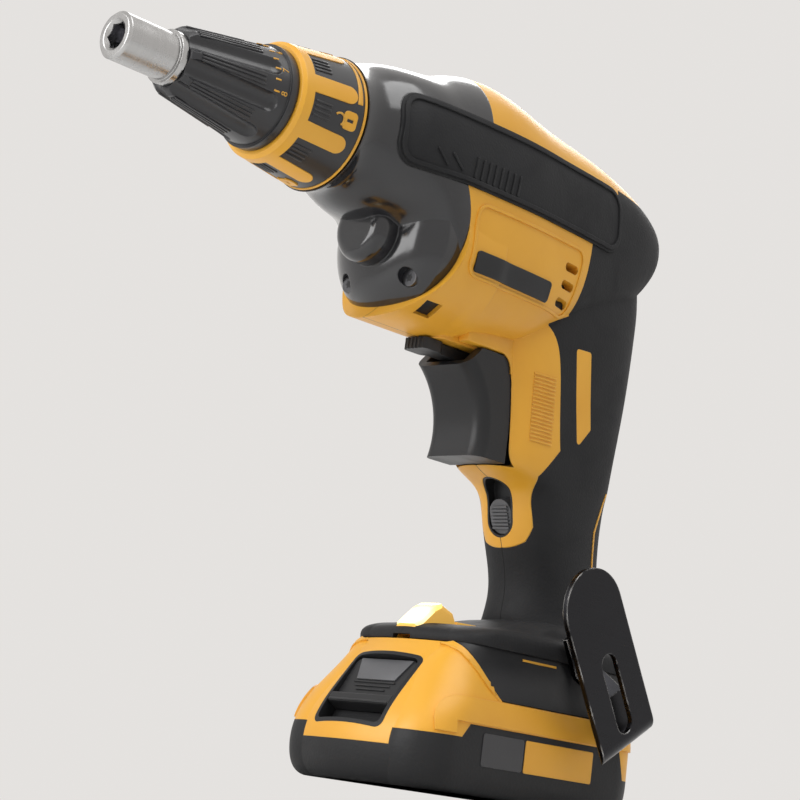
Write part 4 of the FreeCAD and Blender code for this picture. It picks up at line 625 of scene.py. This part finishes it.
# %% [markdown]
# ## Ridges above the grip
# Behind the trigger the yellow flank has a patch of fine level ridges. One ridge is a flat strip,
# an Array repeats it upward, and then the whole patch drops onto the flank in one go.

# %% Ridge patches
RIDGE_SPAN, RIDGE_COUNT, RIDGE_BACK, RIDGE_STEP = (-9.5, 1.5, 131, 131.7), 18, 0.12, 1.45
for word, side in SIDES:
    ridge = flat_plate("flank_ridges_" + word, RIDGE_SPAN, side)
    ridge = slice_up(row_of(ridge, RIDGE_COUNT, RIDGE_BACK, RIDGE_STEP), step=2.0)
    ridge = drop_on(ridge, "housing_" + word, side, lift=-0.2, wall=0.55)
    done(ridge, "tool_body", "yellow_housing")

# %% [markdown]
# ## Piping on the grip
# A thin yellow line shows in the rubber near the back of the handle. It runs down the grip, kinks,
# and goes on towards the foot. Two strips are turned about the kink, joined and dropped onto the
# rubber.

# %% Piping
KINK = Vector((-44.1, 0, 104.6)) * MM
LOW_SPAN, LOW_LEAN = (-44.6, -43.7, 78, 104.8), 4
HIGH_SPAN, HIGH_LEAN = (-44.5, -43.6, 104.4, 122), -20
for word, side in SIDES:
    low = turned(flat_plate("grip_piping", LOW_SPAN, side), LOW_LEAN, "Y", KINK)
    high = turned(flat_plate("grip_piping", HIGH_SPAN, side), HIGH_LEAN, "Y", KINK)
    line = slice_up(joined("grip_piping_" + word, [low, high]), step=2.0)
    line = drop_on(line, "handle_grip_" + word, side, lift=-0.2, wall=0.5)
    done(line, "tool_body", "yellow_housing")

# %% [markdown]
# ## Nose
# The torque sleeve is a cone with groups of fine ridges between its scallops, and short marks that
# show the setting. Each ridge is a small bar with rounded edges. A curve along the cone could give
# the same line. A bar that is tilted about Y on the top of the nose, and then turned about the
# spindle, is easier to check.

# %% Bars on a cone
SPINDLE_HEIGHT = 220
SPINDLE = Vector((0.0, 0.0, SPINDLE_HEIGHT * MM))
ROUNDING_SHARE = 0.3


def block(name, centre, size):
    """A plain block to start from. Sizes in millimetres."""
    let_go()
    bpy.ops.mesh.primitive_cube_add(size=1, location=[c * MM for c in centre])
    piece = bpy.context.object
    piece.name = name
    piece.scale = [s * MM for s in size]
    return settle(piece)


def bar(name, centre, size, rounding):
    """A bar with rounded edges. Sizes in millimetres."""
    piece = block(name, centre, size)
    edit(piece)
    bpy.ops.mesh.bevel(offset=rounding * MM, segments=2, affect="EDGES")
    let_go()
    return piece


def on_cone(x, rear, front):
    """Radius of a cone at a station. Each end is a station and a radius."""
    return rear[1] + (front[1] - rear[1]) * (x - rear[0]) / (front[0] - rear[0])


def lean_at(skin, x, reach=5):
    """Degrees by which a cone falls towards the front at a station."""
    return math.degrees(math.atan2(skin(x - reach) - skin(x + reach), 2 * reach))


def cone_bar(name, skin, x0, x1, width, height):
    """A bar along a cone on the top of the nose, sunk by half its height."""
    r0, r1 = skin(x0), skin(x1)
    tilt = math.degrees(math.atan2(r0 - r1, x1 - x0))
    middle = ((x0 + x1) / 2, 0.0, SPINDLE_HEIGHT + (r0 + r1) / 2)
    piece = bar(name, middle, (x1 - x0, width, height), min(width, height) * ROUNDING_SHARE)
    return turned(piece, tilt, "Y", Vector([m * MM for m in middle]))


def ring_of(name, first, angles):
    """Copies of a piece turned about the spindle, as one piece."""
    copies = [turned(copy_of(first), angle, "X", SPINDLE) for angle in angles]
    bpy.data.objects.remove(first)
    return joined(name, copies)


print("spindle at", SPINDLE_HEIGHT, "mm")

# %% Sleeve ridges and marks
SLEEVE_REAR, SLEEVE_FRONT = (140.6, 17.5), (176.1, 11.95)
SECTORS, SECTOR_TURN = 8, 45
MARK_COUNT, MARK_STEP, MARK_START = 15, 14, -98


def sleeve_skin(x):
    """Radius of the torque sleeve's lands at a station."""
    return on_cone(x, SLEEVE_REAR, SLEEVE_FRONT)


ridge = cone_bar("sleeve_ridge", sleeve_skin, x0=150, x1=175, width=0.75, height=0.9)
lands = [SECTOR_TURN * k + d for k in range(SECTORS) for d in (-5.2, 0.0, 5.2)]
done(ring_of("sleeve_ridges", ridge, lands), "torque_setting", "black_sleeve")

mark = cone_bar("sleeve_mark", sleeve_skin, x0=144.4, x1=146.6, width=0.6, height=0.35)
turns = [MARK_STEP * k + MARK_START for k in range(MARK_COUNT)]
done(ring_of("sleeve_marks", mark, turns), "torque_setting", "yellow_collar")

# %% [markdown]
# ## Numbers on the dial
# Every second mark has a plain number. Each is a text object with a little depth, made a mesh
# before it is laid on the cone, so that it needs no font later and rides like any other piece.

# %% Dial numbers
NUMBER_STATION, NUMBER_HEIGHT, NUMBER_DEPTH, NUMBER_COUNT = 142.4, 3.4, 0.12, 8


def dial_number(word, x):
    """A number on the top of the nose, its foot to the rear, raised a little from the sleeve."""
    let_go()
    bpy.ops.object.text_add()
    piece = bpy.context.object
    piece.data.body = word
    piece.data.align_x = "CENTER"
    piece.data.align_y = "CENTER"
    piece.data.size = NUMBER_HEIGHT * MM
    piece.data.extrude = NUMBER_DEPTH * MM
    piece.data.resolution_u = 3
    bpy.ops.object.convert(target="MESH")
    middle = Vector((x, 0.0, SPINDLE_HEIGHT + sleeve_skin(x))) * MM
    lean = math.radians(lean_at(sleeve_skin, x))
    piece = bpy.context.object
    piece.matrix_world = (Matrix.Translation(middle) @ Matrix.Rotation(lean, 4, "Y")
                          @ Matrix.Rotation(-math.pi / 2, 4, "Z"))
    return settle(piece)


numbers = []
for k in range(NUMBER_COUNT):
    number = dial_number(str(k + 1), NUMBER_STATION)
    numbers.append(turned(number, -MARK_START - 2 * MARK_STEP * k, "X", SPINDLE))
done(joined("sleeve_numbers", numbers), "torque_setting", "yellow_collar")

# %% [markdown]
# ## Ridges on the collar
# Each black pad of the lock collar has four short ridges that give a hold. They are made as the
# ridges of the sleeve are: one bar on the collar's own cone, copied round the spindle.

# %% Collar ridges
COLLAR_REAR, COLLAR_FRONT = (110.8, 23.7), (136.1, 20.5)
PAD_TURN = 34.5


def collar_skin(x):
    """Radius of the black moulding on the collar at a station."""
    return on_cone(x, COLLAR_REAR, COLLAR_FRONT)


ridge = cone_bar("collar_ridge", collar_skin, x0=124.8, x1=131.8, width=0.8, height=0.8)
pads = [SECTOR_TURN * k + PAD_TURN + d for k in range(SECTORS) for d in (-6.6, -2.2, 2.2, 6.6)]
done(ring_of("collar_ridges", ridge, pads), "collar", "collar_moulding")

# %% [markdown]
# ## Padlock signs on the collar
# The collar locks the setting, and a plain padlock sign says so. It could be painted on by a mask,
# but a thin raised piece keeps its sharp edge at any distance. The body is a small rounded plate
# with a keyhole, and the shackle a half ring made by spinning a square about its centre. The open
# sign and the locked one stand either side of a tapering stripe that shows the way to turn.

# %% Padlock
LOCK_SIZE, LOCK_CORNER, HOLE_SIZE = (5.6, 6.4, 0.6), 1.6, (2.6, 1.1, 4.0)
SHACKLE_AHEAD, SHACKLE_REACH, SHACKLE_WIRE, SHACKLE_SWING = 3.0, 2.0, 0.65, 42
SAME_SPOT = 0.000005


def round_plate(name, centre, size, corner):
    """A level plate whose upright corners are round. Sizes in millimetres."""
    piece = block(name, centre, size)
    edit(piece, whole=False)
    bpy.ops.mesh.select_mode(type="EDGE")
    bpy.ops.object.mode_set(mode="OBJECT")
    spots = piece.data.vertices
    for edge in piece.data.edges:
        first, second = edge.vertices
        edge.select = abs(spots[first].co.z - spots[second].co.z) > 0.5 * size[2] * MM
    bpy.ops.object.mode_set(mode="EDIT")
    bpy.ops.mesh.bevel(offset=corner * MM, segments=5, affect="EDGES")
    let_go()
    return piece


def cut_with(piece, operation, tool):
    """Change a piece by another one with a Boolean, and throw that one away."""
    use(piece, "BOOLEAN", operation=operation, object=tool)
    bpy.data.objects.remove(tool)
    return piece


def padlock(name, x, opened):
    """A small padlock on the top of the nose, its shackle to the front."""
    height = SPINDLE_HEIGHT + collar_skin(x)
    body = round_plate(name, (x, 0.0, height), LOCK_SIZE, LOCK_CORNER)
    hole = bar(name + "_hole", (x, 0.0, height), HOLE_SIZE, rounding=0.1)
    cut_with(body, "DIFFERENCE", hole)
    let_go()
    start = Vector((x + SHACKLE_AHEAD, SHACKLE_REACH, height)) * MM
    bpy.ops.mesh.primitive_cube_add(size=SHACKLE_WIRE * MM, location=start)
    shackle = settle(bpy.context.object)
    edit(shackle)
    bpy.ops.mesh.spin(steps=12, angle=math.pi, axis=(0, 0, -1),
                      center=(start.x, start.y - SHACKLE_REACH * MM, start.z))
    bpy.ops.mesh.select_all(action="SELECT")
    bpy.ops.mesh.remove_doubles(threshold=SAME_SPOT)
    bpy.ops.mesh.normals_make_consistent(inside=False)
    let_go()
    if opened:
        turned(shackle, SHACKLE_SWING, "Z", start)
    whole = joined(name, [body, shackle])
    return turned(whole, lean_at(collar_skin, x), "Y", Vector((x, 0, height)) * MM)


print("padlock body in mm:", LOCK_SIZE)

# %% Signs and stripes
SIGN_STATION, OPEN_TURN, LOCKED_TURN = 116.8, PAD_TURN - 135, PAD_TURN - 45
STRIPE_REAR, STRIPE_END, STRIPE_GROWTH = 112.5, 112.9, 0.07
STRIPE_STEPS, STRIPE_START, STRIPE_TURN = 26, -30, 2.1
signs = []
for k in range(2):
    for opened, angle in ((True, OPEN_TURN), (False, LOCKED_TURN)):
        sign = padlock("padlock_%d_%d" % (k, opened), SIGN_STATION, opened)
        signs.append(turned(sign, 180 * k + angle, "X", SPINDLE))
    for step in range(STRIPE_STEPS):
        end = STRIPE_END + STRIPE_GROWTH * step
        piece = cone_bar("stripe", collar_skin, STRIPE_REAR, end, width=1.05, height=0.4)
        signs.append(turned(piece, 180 * k + STRIPE_START - STRIPE_TURN * step, "X", SPINDLE))
done(joined("padlock_signs", signs), "collar", "yellow_collar")

# %% [markdown]
# ## Rounded corner over the trigger
# The flank comes down beside the trigger in a rounded corner. A bar fills the recess over the
# trigger's shoulder, and a thin web beside the trigger turns the corner. A large rounded plate,
# stood on edge, cuts the arc out of the web with a Boolean: its round corner gives a clean arc with
# no points to place by hand. The trigger slides past the web with a small gap.

# %% Trigger corners
for word, side in SIDES:
    brow = bar("trigger_brow", (24.5, side * 11.6, 163.3), size=(25.0, 5.4, 6.2), rounding=0.5)
    web = bar("trigger_web", (15.5, side * 14.05, 157.3), size=(8.0, 0.6, 7.6), rounding=0.1)
    middle = (42.4, side * 14.0, 130.3)
    cutter = round_plate("trigger_cutter", middle, size=(60.0, 60.0, 12.0), corner=6.5)
    cut_with(web, "DIFFERENCE", turned(cutter, 90, "X", Vector(middle) * MM))
    cut_with(brow, "UNION", web)
    brow.name = "trigger_corner_" + word
    done(brow, "tool_body", "yellow_housing")

# %% [markdown]
# ## Star drives in the screws
# The screws have six-lobed drives. A Boolean in each screw would change the CAD solid, so each
# drive is a short star instead: a twelve-sided disc whose every second corner is pulled in, set
# flush in the head in black, which paints the shade of a recessed socket.

# %% Star drives
STAR_SIDES, STAR_DEPTH, STAR_WAIST, STAR_SINK, STAR_CHAMFER = 12, 0.5, 0.62, 0.17, 0.06


def star(name, centre, facing, radius):
    """A six-pointed plug on a screw head. Sizes in millimetres."""
    let_go()
    bpy.ops.mesh.primitive_cylinder_add(vertices=STAR_SIDES, radius=radius * MM,
                                        depth=STAR_DEPTH * MM)
    piece = bpy.context.object
    piece.name = name
    for corner in piece.data.vertices:
        angle = math.degrees(math.atan2(corner.co.y, corner.co.x))
        step = round(angle / (360 / STAR_SIDES))
        if step % 2:
            corner.co.x *= STAR_WAIST
            corner.co.y *= STAR_WAIST
    piece.rotation_mode = "QUATERNION"
    piece.rotation_quaternion = Vector(facing).to_track_quat("Z", "Y")
    piece.location = [c * MM for c in centre]
    settle(piece)
    edit(piece)
    bpy.ops.mesh.bevel(offset=STAR_CHAMFER * MM, segments=1, affect="EDGES")
    let_go()
    return piece


# The stars are black to paint the shade inside each drive's recess.
def stars_on(name, body, facing, centres, radius=1.7):
    """Stars on the heads of a group of screws: each sits on the outer face of its head."""
    pieces = []
    for centre in centres:
        spot = [c - f * STAR_SINK for c, f in zip(centre, facing)]
        pieces.append(star(name, spot, facing, radius))
    done(joined(name, pieces), body, "screw_steel", finishes["black_plastic"])


print("star depth in mm:", STAR_DEPTH)

# %% Stars on the heads
MOTOR_HEIGHT = 190
GEAR_FACE, GEAR_CIRCLE, GEAR_ANGLES = 71.7, 22.0, (226.5, 313.5)
gear_heads = []
for angle in GEAR_ANGLES:
    y, z = math.cos(math.radians(angle)), math.sin(math.radians(angle))
    gear_heads.append((GEAR_FACE, GEAR_CIRCLE * y, MOTOR_HEIGHT + GEAR_CIRCLE * z))
stars_on("gear_case_stars", "tool_body", (1, 0, 0), gear_heads)

HEAD_HEIGHT = 2.2
case_seats = ((32, 248, 17), (5, 166, 14), (-40, 214, 15), (-36, 117, 11), (-50, 63, 15))
case_heads = [(x, -seat - HEAD_HEIGHT, z) for x, z, seat in case_seats]
stars_on("case_stars", "tool_body", (0, -1, 0), case_heads)

BASE_DEPTH, base_places = 0.3, ((49, 14), (-53.5, 20))
base_heads = [(x, side * y, BASE_DEPTH) for x, y in base_places for side in (1, -1)]
stars_on("battery_stars", "battery_pack", (0, 0, -1), base_heads)

hook_low, hook_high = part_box("belt_hook_screw")
hook_x, hook_z = ((hook_low[axis] + hook_high[axis]) / 2 / MM for axis in (0, 2))
stars_on("hook_star", "tool_body", (0, 1, 0), [(hook_x, hook_high[1] / MM, hook_z)], radius=2.2)

# %% [markdown]
# ## Painted shade in the air slots
# The air slots open into the inside of the tool, where shade falls. A thin black plate on the floor
# of each slot paints that shade without cutting any deeper.

# %% Slot shade plates
MOTOR = Vector((0.0, 0.0, MOTOR_HEIGHT * MM))
SLOT_COUNT, SLOT_X, SLOT_OUT, SLOT_LOW, SLOT_STEP = 3, 0.75, 21.3, 182.6, 6.6
BELLY_X, BELLY_RADIUS, BELLY_TURN = 62.5, 28.6, 34
shade_plates = []
for _, side in SIDES:
    for k in range(SLOT_COUNT):
        spot = (SLOT_X, side * SLOT_OUT, SLOT_LOW + SLOT_STEP * k)
        shade_plates.append(bar("slot_shade_plate", spot, size=(8.3, 0.5, 3.1), rounding=0.1))
for _, side in SIDES:
    spot = (BELLY_X, 0, MOTOR_HEIGHT - BELLY_RADIUS)
    plate = bar("slot_shade_plate", spot, size=(7.9, 7.5, 0.5), rounding=0.1)
    shade_plates.append(turned(plate, BELLY_TURN * side, "X", MOTOR))
# Black plates that paint the shade inside the slots.
done(joined("slot_shade_plates", shade_plates), "tool_body", "black_plastic")

# %% [markdown]
# ## Battery
# The flanks of the pack have a raised yellow arch under the foot's skirts, and below it a bare dark
# band with a plain coloured block. A lip runs down the slanted front edge of the flank. The arch
# starts as a full rounded plate. Deleting the faces under its arms is quicker than drawing its
# outline.

# %% Battery arches and bands
ARCH_SPAN, ARCH_UNDER, ARM_REAR, ARM_FOOT = (-58, 50, 8.6, 32.6), 24.3, 42.5, 19.6
BAND_SPAN, PATCH_SPAN = (7.5, 29, 10.2, 21.6), (-31, 6.5, 10.2, 21.6)


def trim(piece, keep):
    """Delete the faces of a flat piece whose middle, in millimetres, fails a test."""
    pick(piece)
    for face in piece.data.polygons:
        face.select = not keep(face.center.x / MM, face.center.z / MM)
    bpy.ops.object.mode_set(mode="EDIT")
    bpy.ops.mesh.delete(type="FACE")
    let_go()
    return piece


def in_arch(x, z):
    """Whether a point of the flank is in the arch or in its front arm."""
    return z > ARCH_UNDER or (x > ARM_REAR and z > ARM_FOOT)


for word, side in SIDES:
    arch = slice_up(flat_plate("pack_arch_" + word, ARCH_SPAN, side, corner=11.0), step=1.5)
    arch = drop_on(trim(arch, in_arch), "battery_upper", side, lift=-0.3, wall=1.1)
    done(arch, "battery_pack", "yellow_battery")
    band = slice_up(flat_plate("battery_band_" + word, BAND_SPAN, side, corner=1.2), step=4.0)
    band = drop_on(band, "battery_lower", side, lift=-0.2, wall=0.45)
    done(band, "battery_pack", "black_battery", finishes["black_sleeve"])
    patch = slice_up(flat_plate("battery_patch_" + word, PATCH_SPAN, side, corner=0.8), step=4.0)
    patch = drop_on(patch, "battery_lower", side, lift=-0.2, wall=0.45)
    done(patch, "battery_pack", "yellow_battery")

# %% Battery lips
LIP_RUN, LIP_HALF = ((34.4, 51.0), (31.2, 46.0), (26.2, 39.2), (21.2, 34.2)), 1.1
for word, side in SIDES:
    lips = []
    for (x0, z0), (x1, z1) in zip(LIP_RUN, LIP_RUN[1:]):
        length = math.hypot(x1 - x0, z1 - z0)
        lip = flat_plate("pack_lip", (x1 - LIP_HALF, x1 + LIP_HALF, z1, z1 + length), side)
        lean = math.degrees(math.atan2(x0 - x1, z0 - z1))
        lips.append(turned(lip, lean, "Y", Vector((x1, 0, z1)) * MM))
    lip = slice_up(joined("pack_lip_" + word, lips), step=1.5)
    lip = drop_on(lip, "battery_upper", side, lift=-0.3, wall=0.9)
    done(lip, "battery_pack", "yellow_battery")

# %% [markdown]
# ## Line in the foot's skirt
# A narrow slot in each skirt shows the yellow housing behind it as a thin line. At this width a
# thin strip that lies on the skirt looks the same as a slot.

# %% Skirt lines
LINE_SPAN = (-13.9, 4.8, 49.3, 50.1)
for word, side in SIDES:
    line = slice_up(flat_plate("skirt_line_" + word, LINE_SPAN, side), step=2.0)
    line = drop_on(line, "foot_skirt_" + word, side, lift=-0.1, wall=0.3)
    done(line, "tool_body", "yellow_housing")

# %% [markdown]
# ## Latch
# Fine ridges lie along the slope of the pack's front, under a pad that narrows downward. The pad
# is black, and its mid grey is a painted highlight of the light from above. The slope has two
# directions, down it and into it, and every bar is placed by a run and a depth along them.

# %% Latch ridges and pad
SLOPE_TOP, SLOPE_END = Vector((42.4, 0, 46.5)), Vector((60.6, 0, 18.0))
RIDGES, RIDGE_RUN, RIDGE_PITCH, RIDGE_DEPTH = 3, 12.6, 1.7, 2.35
RIDGE_WIDTH, RIDGE_LOSS = 20.0, 3.0
PAD_RUN, PAD_DEPTH, PAD_NARROWING = 7.0, 2.2, 0.74
slope_run = (SLOPE_END - SLOPE_TOP).normalized()
slope_in = Vector((slope_run.z, 0, -slope_run.x))
slope_angle = math.degrees(math.atan2(-slope_run.z, slope_run.x))


def slope_bar(name, run, depth, size, rounding):
    """A bar across the sloping front, a run down the slope and a depth under its surface."""
    spot = SLOPE_TOP + slope_run * run + slope_in * depth
    return turned(bar(name, spot, size, rounding), slope_angle, "Y", spot * MM)


ridges = []
for k in range(RIDGES):
    size = (0.7, RIDGE_WIDTH - RIDGE_LOSS * k, 0.8)
    ridges.append(slope_bar("latch_ridge", RIDGE_RUN + RIDGE_PITCH * k, RIDGE_DEPTH, size, 0.2))
ridges.append(slope_bar("latch_edge", run=22.4, depth=0.2, size=(0.8, 28.4, 0.5), rounding=0.15))
done(joined("latch_ridges", ridges), "latch", "black_plastic")

# The pad's grey finish is a painted highlight: the black pad catches light from above.
spot = SLOPE_TOP + slope_run * PAD_RUN + slope_in * PAD_DEPTH
highlight_pad = bar("latch_highlight_pad", spot, size=(9.2, 25.4, 0.7), rounding=0.25)
for corner in highlight_pad.data.vertices:
    if corner.co.x > spot.x * MM:
        corner.co.y *= PAD_NARROWING
done(turned(highlight_pad, slope_angle, "Y", spot * MM), "latch", "grey_plastic")

# %% [markdown]
# ## Lamp window
# The light comes out of the sloping front of the hood and its brow. Two rounded bars, one on the
# slope and one on the brow, become one clear window with a Boolean union. The brow's bar is a hair
# narrower, because two faces in one plane make a Boolean leave gaps.

# %% Lamp window
HOOD_FOOT, HOOD_EDGE, HOOD_BROW = (35.0, 57.5), (27.5, 64.4), (23.8, 66.4)
WINDOW_HEIGHT, WINDOW_PROUD, WINDOW_OVERLAP, WINDOW_ROUNDING = 2.3, 0.2, 0.6, 0.8


def window_bar(name, low, high, width):
    """A rounded bar on the hood from one point of its side view to another, a little proud."""
    low, high = Vector((low[0], 0, low[1])), Vector((high[0], 0, high[1]))
    run = low - high
    out = Vector((-run.z, 0, run.x)).normalized()
    middle = (low + high) / 2 - out * (WINDOW_HEIGHT / 2 - WINDOW_PROUD)
    size = (run.length + WINDOW_OVERLAP, width, WINDOW_HEIGHT)
    piece = bar(name, middle, size, WINDOW_ROUNDING)
    return turned(piece, math.degrees(math.atan2(-run.z, run.x)), "Y", middle * MM)


window = window_bar("lamp_window", HOOD_FOOT, HOOD_EDGE, width=10.7)
brow = window_bar("lamp_brow", HOOD_EDGE, HOOD_BROW, width=10.56)
done(cut_with(window, "UNION", brow), "tool_body", "lens_clear")

# %% [markdown]
# ## Stage: floor
# The camera stands low, a little under the level of the tool's base, so the floor is one-sided: its
# back lets the view through. Further out it fades into the pale background, which leaves no hard
# horizon in the other views.

# %% Floor
FLOOR_SIZE, FLOOR_DROP, FLOOR_REACH = 6, -0.0004, 1.1
FLOOR_PALE, FLOOR_SHADE = (0.8, 0.79, 0.77), (0.76, 0.75, 0.73)


def mix_shaders(tree, share, first, second, end):
    """Mix two shaders by a share and send the mix to the tree's end node."""
    mix = place(tree, "MixShader")
    for socket, source in zip(mix.inputs, (share, first.outputs[0], second.outputs[0])):
        tree.links.new(source, socket)
    tree.links.new(mix.outputs[0], tree.nodes[end].inputs["Surface"])


let_go()
bpy.ops.mesh.primitive_plane_add(size=FLOOR_SIZE, location=(0, 0, FLOOR_DROP))
floor = bpy.context.object
floor.name = "floor"
floor_finish, floor_tree, floor_shader = blank("pale floor")
floor_cloud = object_noise(floor_tree, Scale=3.0)
floor_tint = blend_colour(floor_tree, floor_cloud.outputs["Fac"], FLOOR_PALE, FLOOR_SHADE)
floor_tree.links.new(floor_tint, floor_shader.inputs["Base Color"])
feed(floor_shader, Roughness=0.7)
floor_near = fade_from(floor_tree, (0.0, 0.0, 0.0), FLOOR_REACH, "SPHERICAL")
floor_fade = stretch(floor_tree, floor_near, low=0.0, high=0.55, to_low=1.0, to_high=0.0)
floor_back = place(floor_tree, "NewGeometry").outputs["Backfacing"]
floor_hide = reckon(floor_tree, "MAXIMUM", floor_back, floor_fade)
floor_clear = place(floor_tree, "BsdfTransparent")
mix_shaders(floor_tree, floor_hide, floor_shader, floor_clear, "Material Output")
floor.data.materials.append(floor_finish)
print("floor fades out at", FLOOR_REACH, "m")

# %% [markdown]
# ## Stage: background and light
# The world has two strengths. What the camera sees, straight on, in a reflection or through glass,
# is a pale studio wall. What lights the tool is dimmer, so that a colour renders about as it is
# written. One bright world for both would wash the blacks out. Three large soft lamps add shape.

# %% World and lamps
TARGET = Vector((0.03, 0.0, 0.14))
world = bpy.data.worlds.new("pale studio")
bpy.context.scene.world = world
world.use_nodes = True
sky = world.node_tree
sky_light = feed(sky.nodes["Background"], Color=(0.9, 0.92, 0.96, 1.0), Strength=0.42)
sky_view = feed(place(sky, "Background"), Color=(0.78, 0.76, 0.74, 1.0), Strength=1.0)
sky_ray = place(sky, "LightPath")
sky_seen = sky_ray.outputs["Is Camera Ray"]
for kind in ("Is Glossy Ray", "Is Transmission Ray"):
    sky_seen = reckon(sky, "MAXIMUM", sky_seen, sky_ray.outputs[kind])
mix_shaders(sky, sky_seen, sky_light, sky_view, "World Output")


def soft_lamp(name, spot, watts, width):
    """A large square lamp that faces the tool."""
    data = bpy.data.lights.new(name, "AREA")
    data.energy = watts
    data.size = width
    lamp = bpy.data.objects.new(name, data)
    bpy.context.scene.collection.objects.link(lamp)
    lamp.location = spot
    lamp.rotation_mode = "QUATERNION"
    lamp.rotation_quaternion = (TARGET - Vector(spot)).to_track_quat("-Z", "Y")


soft_lamp("window lamp", (1.15, -0.25, 0.55), watts=11.0, width=0.9)
soft_lamp("top lamp", (0.1, 0.5, 1.3), watts=9.0, width=1.0)
soft_lamp("back lamp", (-0.9, -0.7, 0.9), watts=8.0, width=0.8)
print("lamps:", len(bpy.data.lights))

# %% [markdown]
# ## Stage: camera
# The camera stands where the photograph was taken from: low, in front of the tool's left side, with
# a long lens. It was matched to the tool's middle plane, spindle axis and base, which gives its
# place, two of its directions and the focal length in pixels of the square picture.

# %% Camera
FOCAL_PIXELS, PICTURE_PIXELS, SENSOR_WIDTH = 2200.0, 800.0, 36.0
CAMERA_PLACE = (0.5973, 0.5479, -0.0125)
CAMERA_RIGHT, CAMERA_AHEAD = Vector((-0.6859, 0.716, 0.13)), Vector((-0.6921, -0.697, 0.1875))
data = bpy.data.cameras.new("camera")
data.sensor_width = SENSOR_WIDTH
data.lens = FOCAL_PIXELS / PICTURE_PIXELS * SENSOR_WIDTH
data.clip_start = 0.01
camera = bpy.data.objects.new("camera", data)
bpy.context.scene.collection.objects.link(camera)
ahead = CAMERA_AHEAD.normalized()
up = CAMERA_RIGHT.normalized().cross(ahead).normalized()
right = ahead.cross(up).normalized()
turn = Matrix((right, up, -ahead)).transposed().to_4x4()
camera.matrix_world = Matrix.Translation(CAMERA_PLACE) @ turn
bpy.context.scene.camera = camera
bpy.context.scene.view_settings.view_transform = "Standard"
print("lens in mm:", data.lens, "camera up:", [round(c, 3) for c in up])
